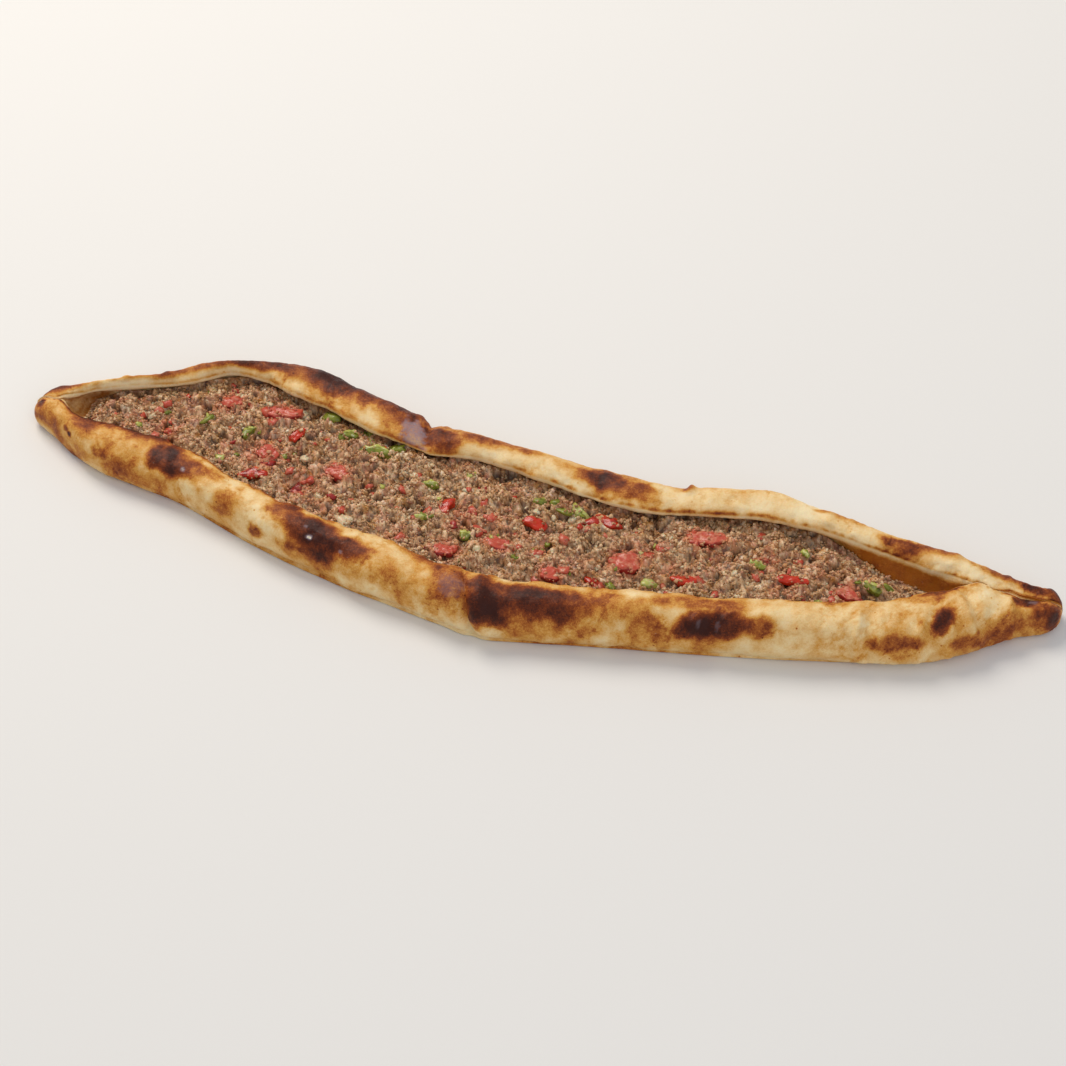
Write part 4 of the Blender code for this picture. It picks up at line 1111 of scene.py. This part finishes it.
# small bits of vegetable where the listed ones lie and at random between the large pieces
def bits(name, listed, count, sizes, surface, opens, boxes, material, slotName):
    spots = openSpots(surface, opens, count * crumbs["favoured"])
    clear = [ellipseReach(spots, low, high) > crumbs["bitsClear"] for low, high in boxes]
    spots = spots[np.all(clear, axis=0)]
    favour = juiceAmount(spots) + 0.25 if slotName == "tomato" else np.full(len(spots), 1.0)
    chosen = dice.choice(len(spots), min(count, len(spots)), replace=False, p=favour / favour.sum())
    spots = spots[chosen]
    length = mix(*sizes, dice.uniform(0, 1, len(spots)) ** 2.2)
    halves = np.stack([length, length * dice.uniform(0.55, 0.95, len(spots)),
                       length * dice.uniform(0.35, 0.55, len(spots))], 1) / 2
    large = nearestOn(surface, [spot[:2] for spot in listed])
    # a wide piece is laid down as several overlapping ones
    for size, spot in zip([place[2:] for place in listed], large):
        for chunk in range(3):
            off = dice.uniform(-0.24, 0.24, 2) * size[:2] * (chunk > 0)
            wide = (0.36, 0.46) if chunk == 0 else (0.2, 0.32)
            spots = np.append(spots, [spot + [off[0], off[1], 0.0]], 0)
            halves = np.append(halves, [np.array(size) * dice.uniform(*wide, 3) * [1, 1, 1.4]], 0)
    spots[:, 2] -= 0.1 * halves[:, 2]
    tints = dice.uniform(0, 1, len(spots))
    skin = (dice.uniform(0, 1, len(spots)) < crumbs["skinned"][slotName]).astype(float)
    scatter(name, spots, halves, tints, 2, crumbs["bitRough"], True, material, {"skin": skin})


# crumbs that fell past the right end of the meat, onto the dough
def straySpots(count):
    spots = []
    for reach in np.abs(dice.normal(0, crumbs["strayReach"], count)):
        x = filling["right"] - 2.5 + reach
        start, end = (section[-1] for section in bothSections(x))
        spots.append((x, mix(start[0], end[0], dice.uniform(0.05, 0.95)), start[1] + 0.3))
    return np.array(spots)


# painted shade in patches over the loose crumbs
def lowShade(points):
    return 0.42 * np.clip(lumps(points, 1.6, 61), 0, 1)


def makeCrumbs(surface, opens, meat, looks):
    boxes = toppingBoxes()
    for kind, subdivisions, share, raised in (("large", 2, 0.92, 0.08), ("small", 1, 0.76, 0.2)):
        spots = settle(openSpots(surface, opens, crumbs[kind], 2.0), boxes, share)
        spots = np.concatenate([spots, straySpots(crumbs[kind + "Strays"])])
        size = mix(*crumbs[kind + "Mm"], dice.uniform(0, 1, len(spots)) ** 1.7)
        halves = size[:, None] * dice.uniform(0.5, 1.15, (len(spots), 3)) / 2
        spots[:, 2] += raised * size
        tints = np.clip(dice.normal(0.52, 0.20, len(spots)), 0, 1)
        painting = {"hollow": lowShade, "juice": juiceAmount}
        scatter("meatCrumbs" + kind.title(), spots, halves, tints, subdivisions, crumbs["rough"], False,
                meat, painting)
    for name, kind, listed, look, slotName in (
            ("tomatoBits", "tomato", tomatoSpots, "tomato", "tomato"),
            ("redPepperBits", "red", [], "red_pepper", "red_pepper"),
            ("greenPepperBits", "green", greenSpots, "green_pepper", "green_pepper"),
            ("onionBits", "onion", onionSpots, "onion", "filling")):
        count, sizes = crumbs[kind + "Bits"], crumbs[kind + "Mm"]
        bits(name, listed, count, sizes, surface, opens, boxes, looks[look], slotName)


meatMaterial = makeMeatMaterial()
coreSurface, coreOpens = makeFillingCore(meatMaterial)
vegetableLooks = {kind: makeVegetableMaterial(kind) for kind in vegetables}
for nodeName in list(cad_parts):
    for kindName in toppingKinds:
        if nodeName.startswith(kindName):
            detailTopping(nodeName, vegetableLooks[kindName], kindName)
print("toppings cut")
makeCrumbs(coreSurface, coreOpens, meatMaterial, vegetableLooks)

# a pale floor and soft light, with the brighter lamp high behind the left end
studio = {
    "floorColour": "#E4E2DE", "floorSize": 40.0,
    "elevation": 46.0, "azimuth": 15.567, "distance": 1.1, "lens": 85.68, "target": (0.0046, 0.0041, 0.0),
    "windowPlace": (-0.9, 0.9, 1.5), "windowSize": 1.0, "windowPower": 24.0, "windowColour": "#FFF6EA",
    "fillPlace": (1.2, -1.3, 1.3), "fillSize": 1.6, "fillPower": 7.0, "fillColour": "#EEF3FF",
    "skyColour": "#F4F6FA", "skyStrength": 0.6, "floorRoughness": 0.8, "floorGapMm": 0.05,
}


def makeFloor():
    size = studio["floorSize"] / 2
    mesh = bpy.data.meshes.new("studioFloor")
    corners = [(-size, -size, 0), (size, -size, 0), (size, size, 0), (-size, size, 0)]
    mesh.from_pydata(corners, [], [(0, 1, 2, 3)])
    floor = bpy.data.objects.new("studioFloor", mesh)
    bpy.context.scene.collection.objects.link(floor)
    floor.location.z = cadBounds[0][2] - studio["floorGapMm"] * mm
    material = bpy.data.materials.new("paleFloor")
    material.use_nodes = True
    shader = material.node_tree.nodes["Principled BSDF"]
    shader.inputs["Base Color"].default_value = hexColour(studio["floorColour"])
    shader.inputs["Roughness"].default_value = studio["floorRoughness"]
    mesh.materials.append(material)


def addLamp(name):
    lamp = bpy.data.lights.new(name + "Light", "AREA")
    lamp.shape = "DISK"
    lamp.size = studio[name + "Size"]
    lamp.energy = studio[name + "Power"]
    lamp.color = hexColour(studio[name + "Colour"])[:3]
    holder = bpy.data.objects.new(name + "Light", lamp)
    bpy.context.scene.collection.objects.link(holder)
    holder.location = studio[name + "Place"]
    holder.rotation_euler = (-Vector(studio[name + "Place"])).to_track_quat("-Z", "Y").to_euler()


def addSky():
    sky = bpy.data.worlds.new("studioSky")
    sky.use_nodes = True
    background = sky.node_tree.nodes["Background"]
    background.inputs["Color"].default_value = hexColour(studio["skyColour"])
    background.inputs["Strength"].default_value = studio["skyStrength"]
    bpy.context.scene.world = sky


def addCamera():
    azimuth, elevation = math.radians(studio["azimuth"]), math.radians(studio["elevation"])
    right = Vector((math.cos(azimuth), math.sin(azimuth), 0))
    level = math.cos(elevation)
    back = Vector((math.sin(azimuth) * level, -math.cos(azimuth) * level, math.sin(elevation)))
    camera = bpy.data.cameras.new("camera")
    camera.lens = studio["lens"]
    camera.sensor_width = 36.0
    camera.clip_start = 0.01
    holder = bpy.data.objects.new("camera", camera)
    bpy.context.scene.collection.objects.link(holder)
    turn = Matrix((right, back.cross(right), back)).transposed().to_4x4()
    turn.translation = Vector(studio["target"]) + back * studio["distance"]
    holder.matrix_world = turn
    bpy.context.scene.camera = holder


makeFloor()
addLamp("window")
addLamp("fill")
addSky()
addCamera()
bpy.context.scene.view_settings.view_transform = "Standard"
print("studio ready")
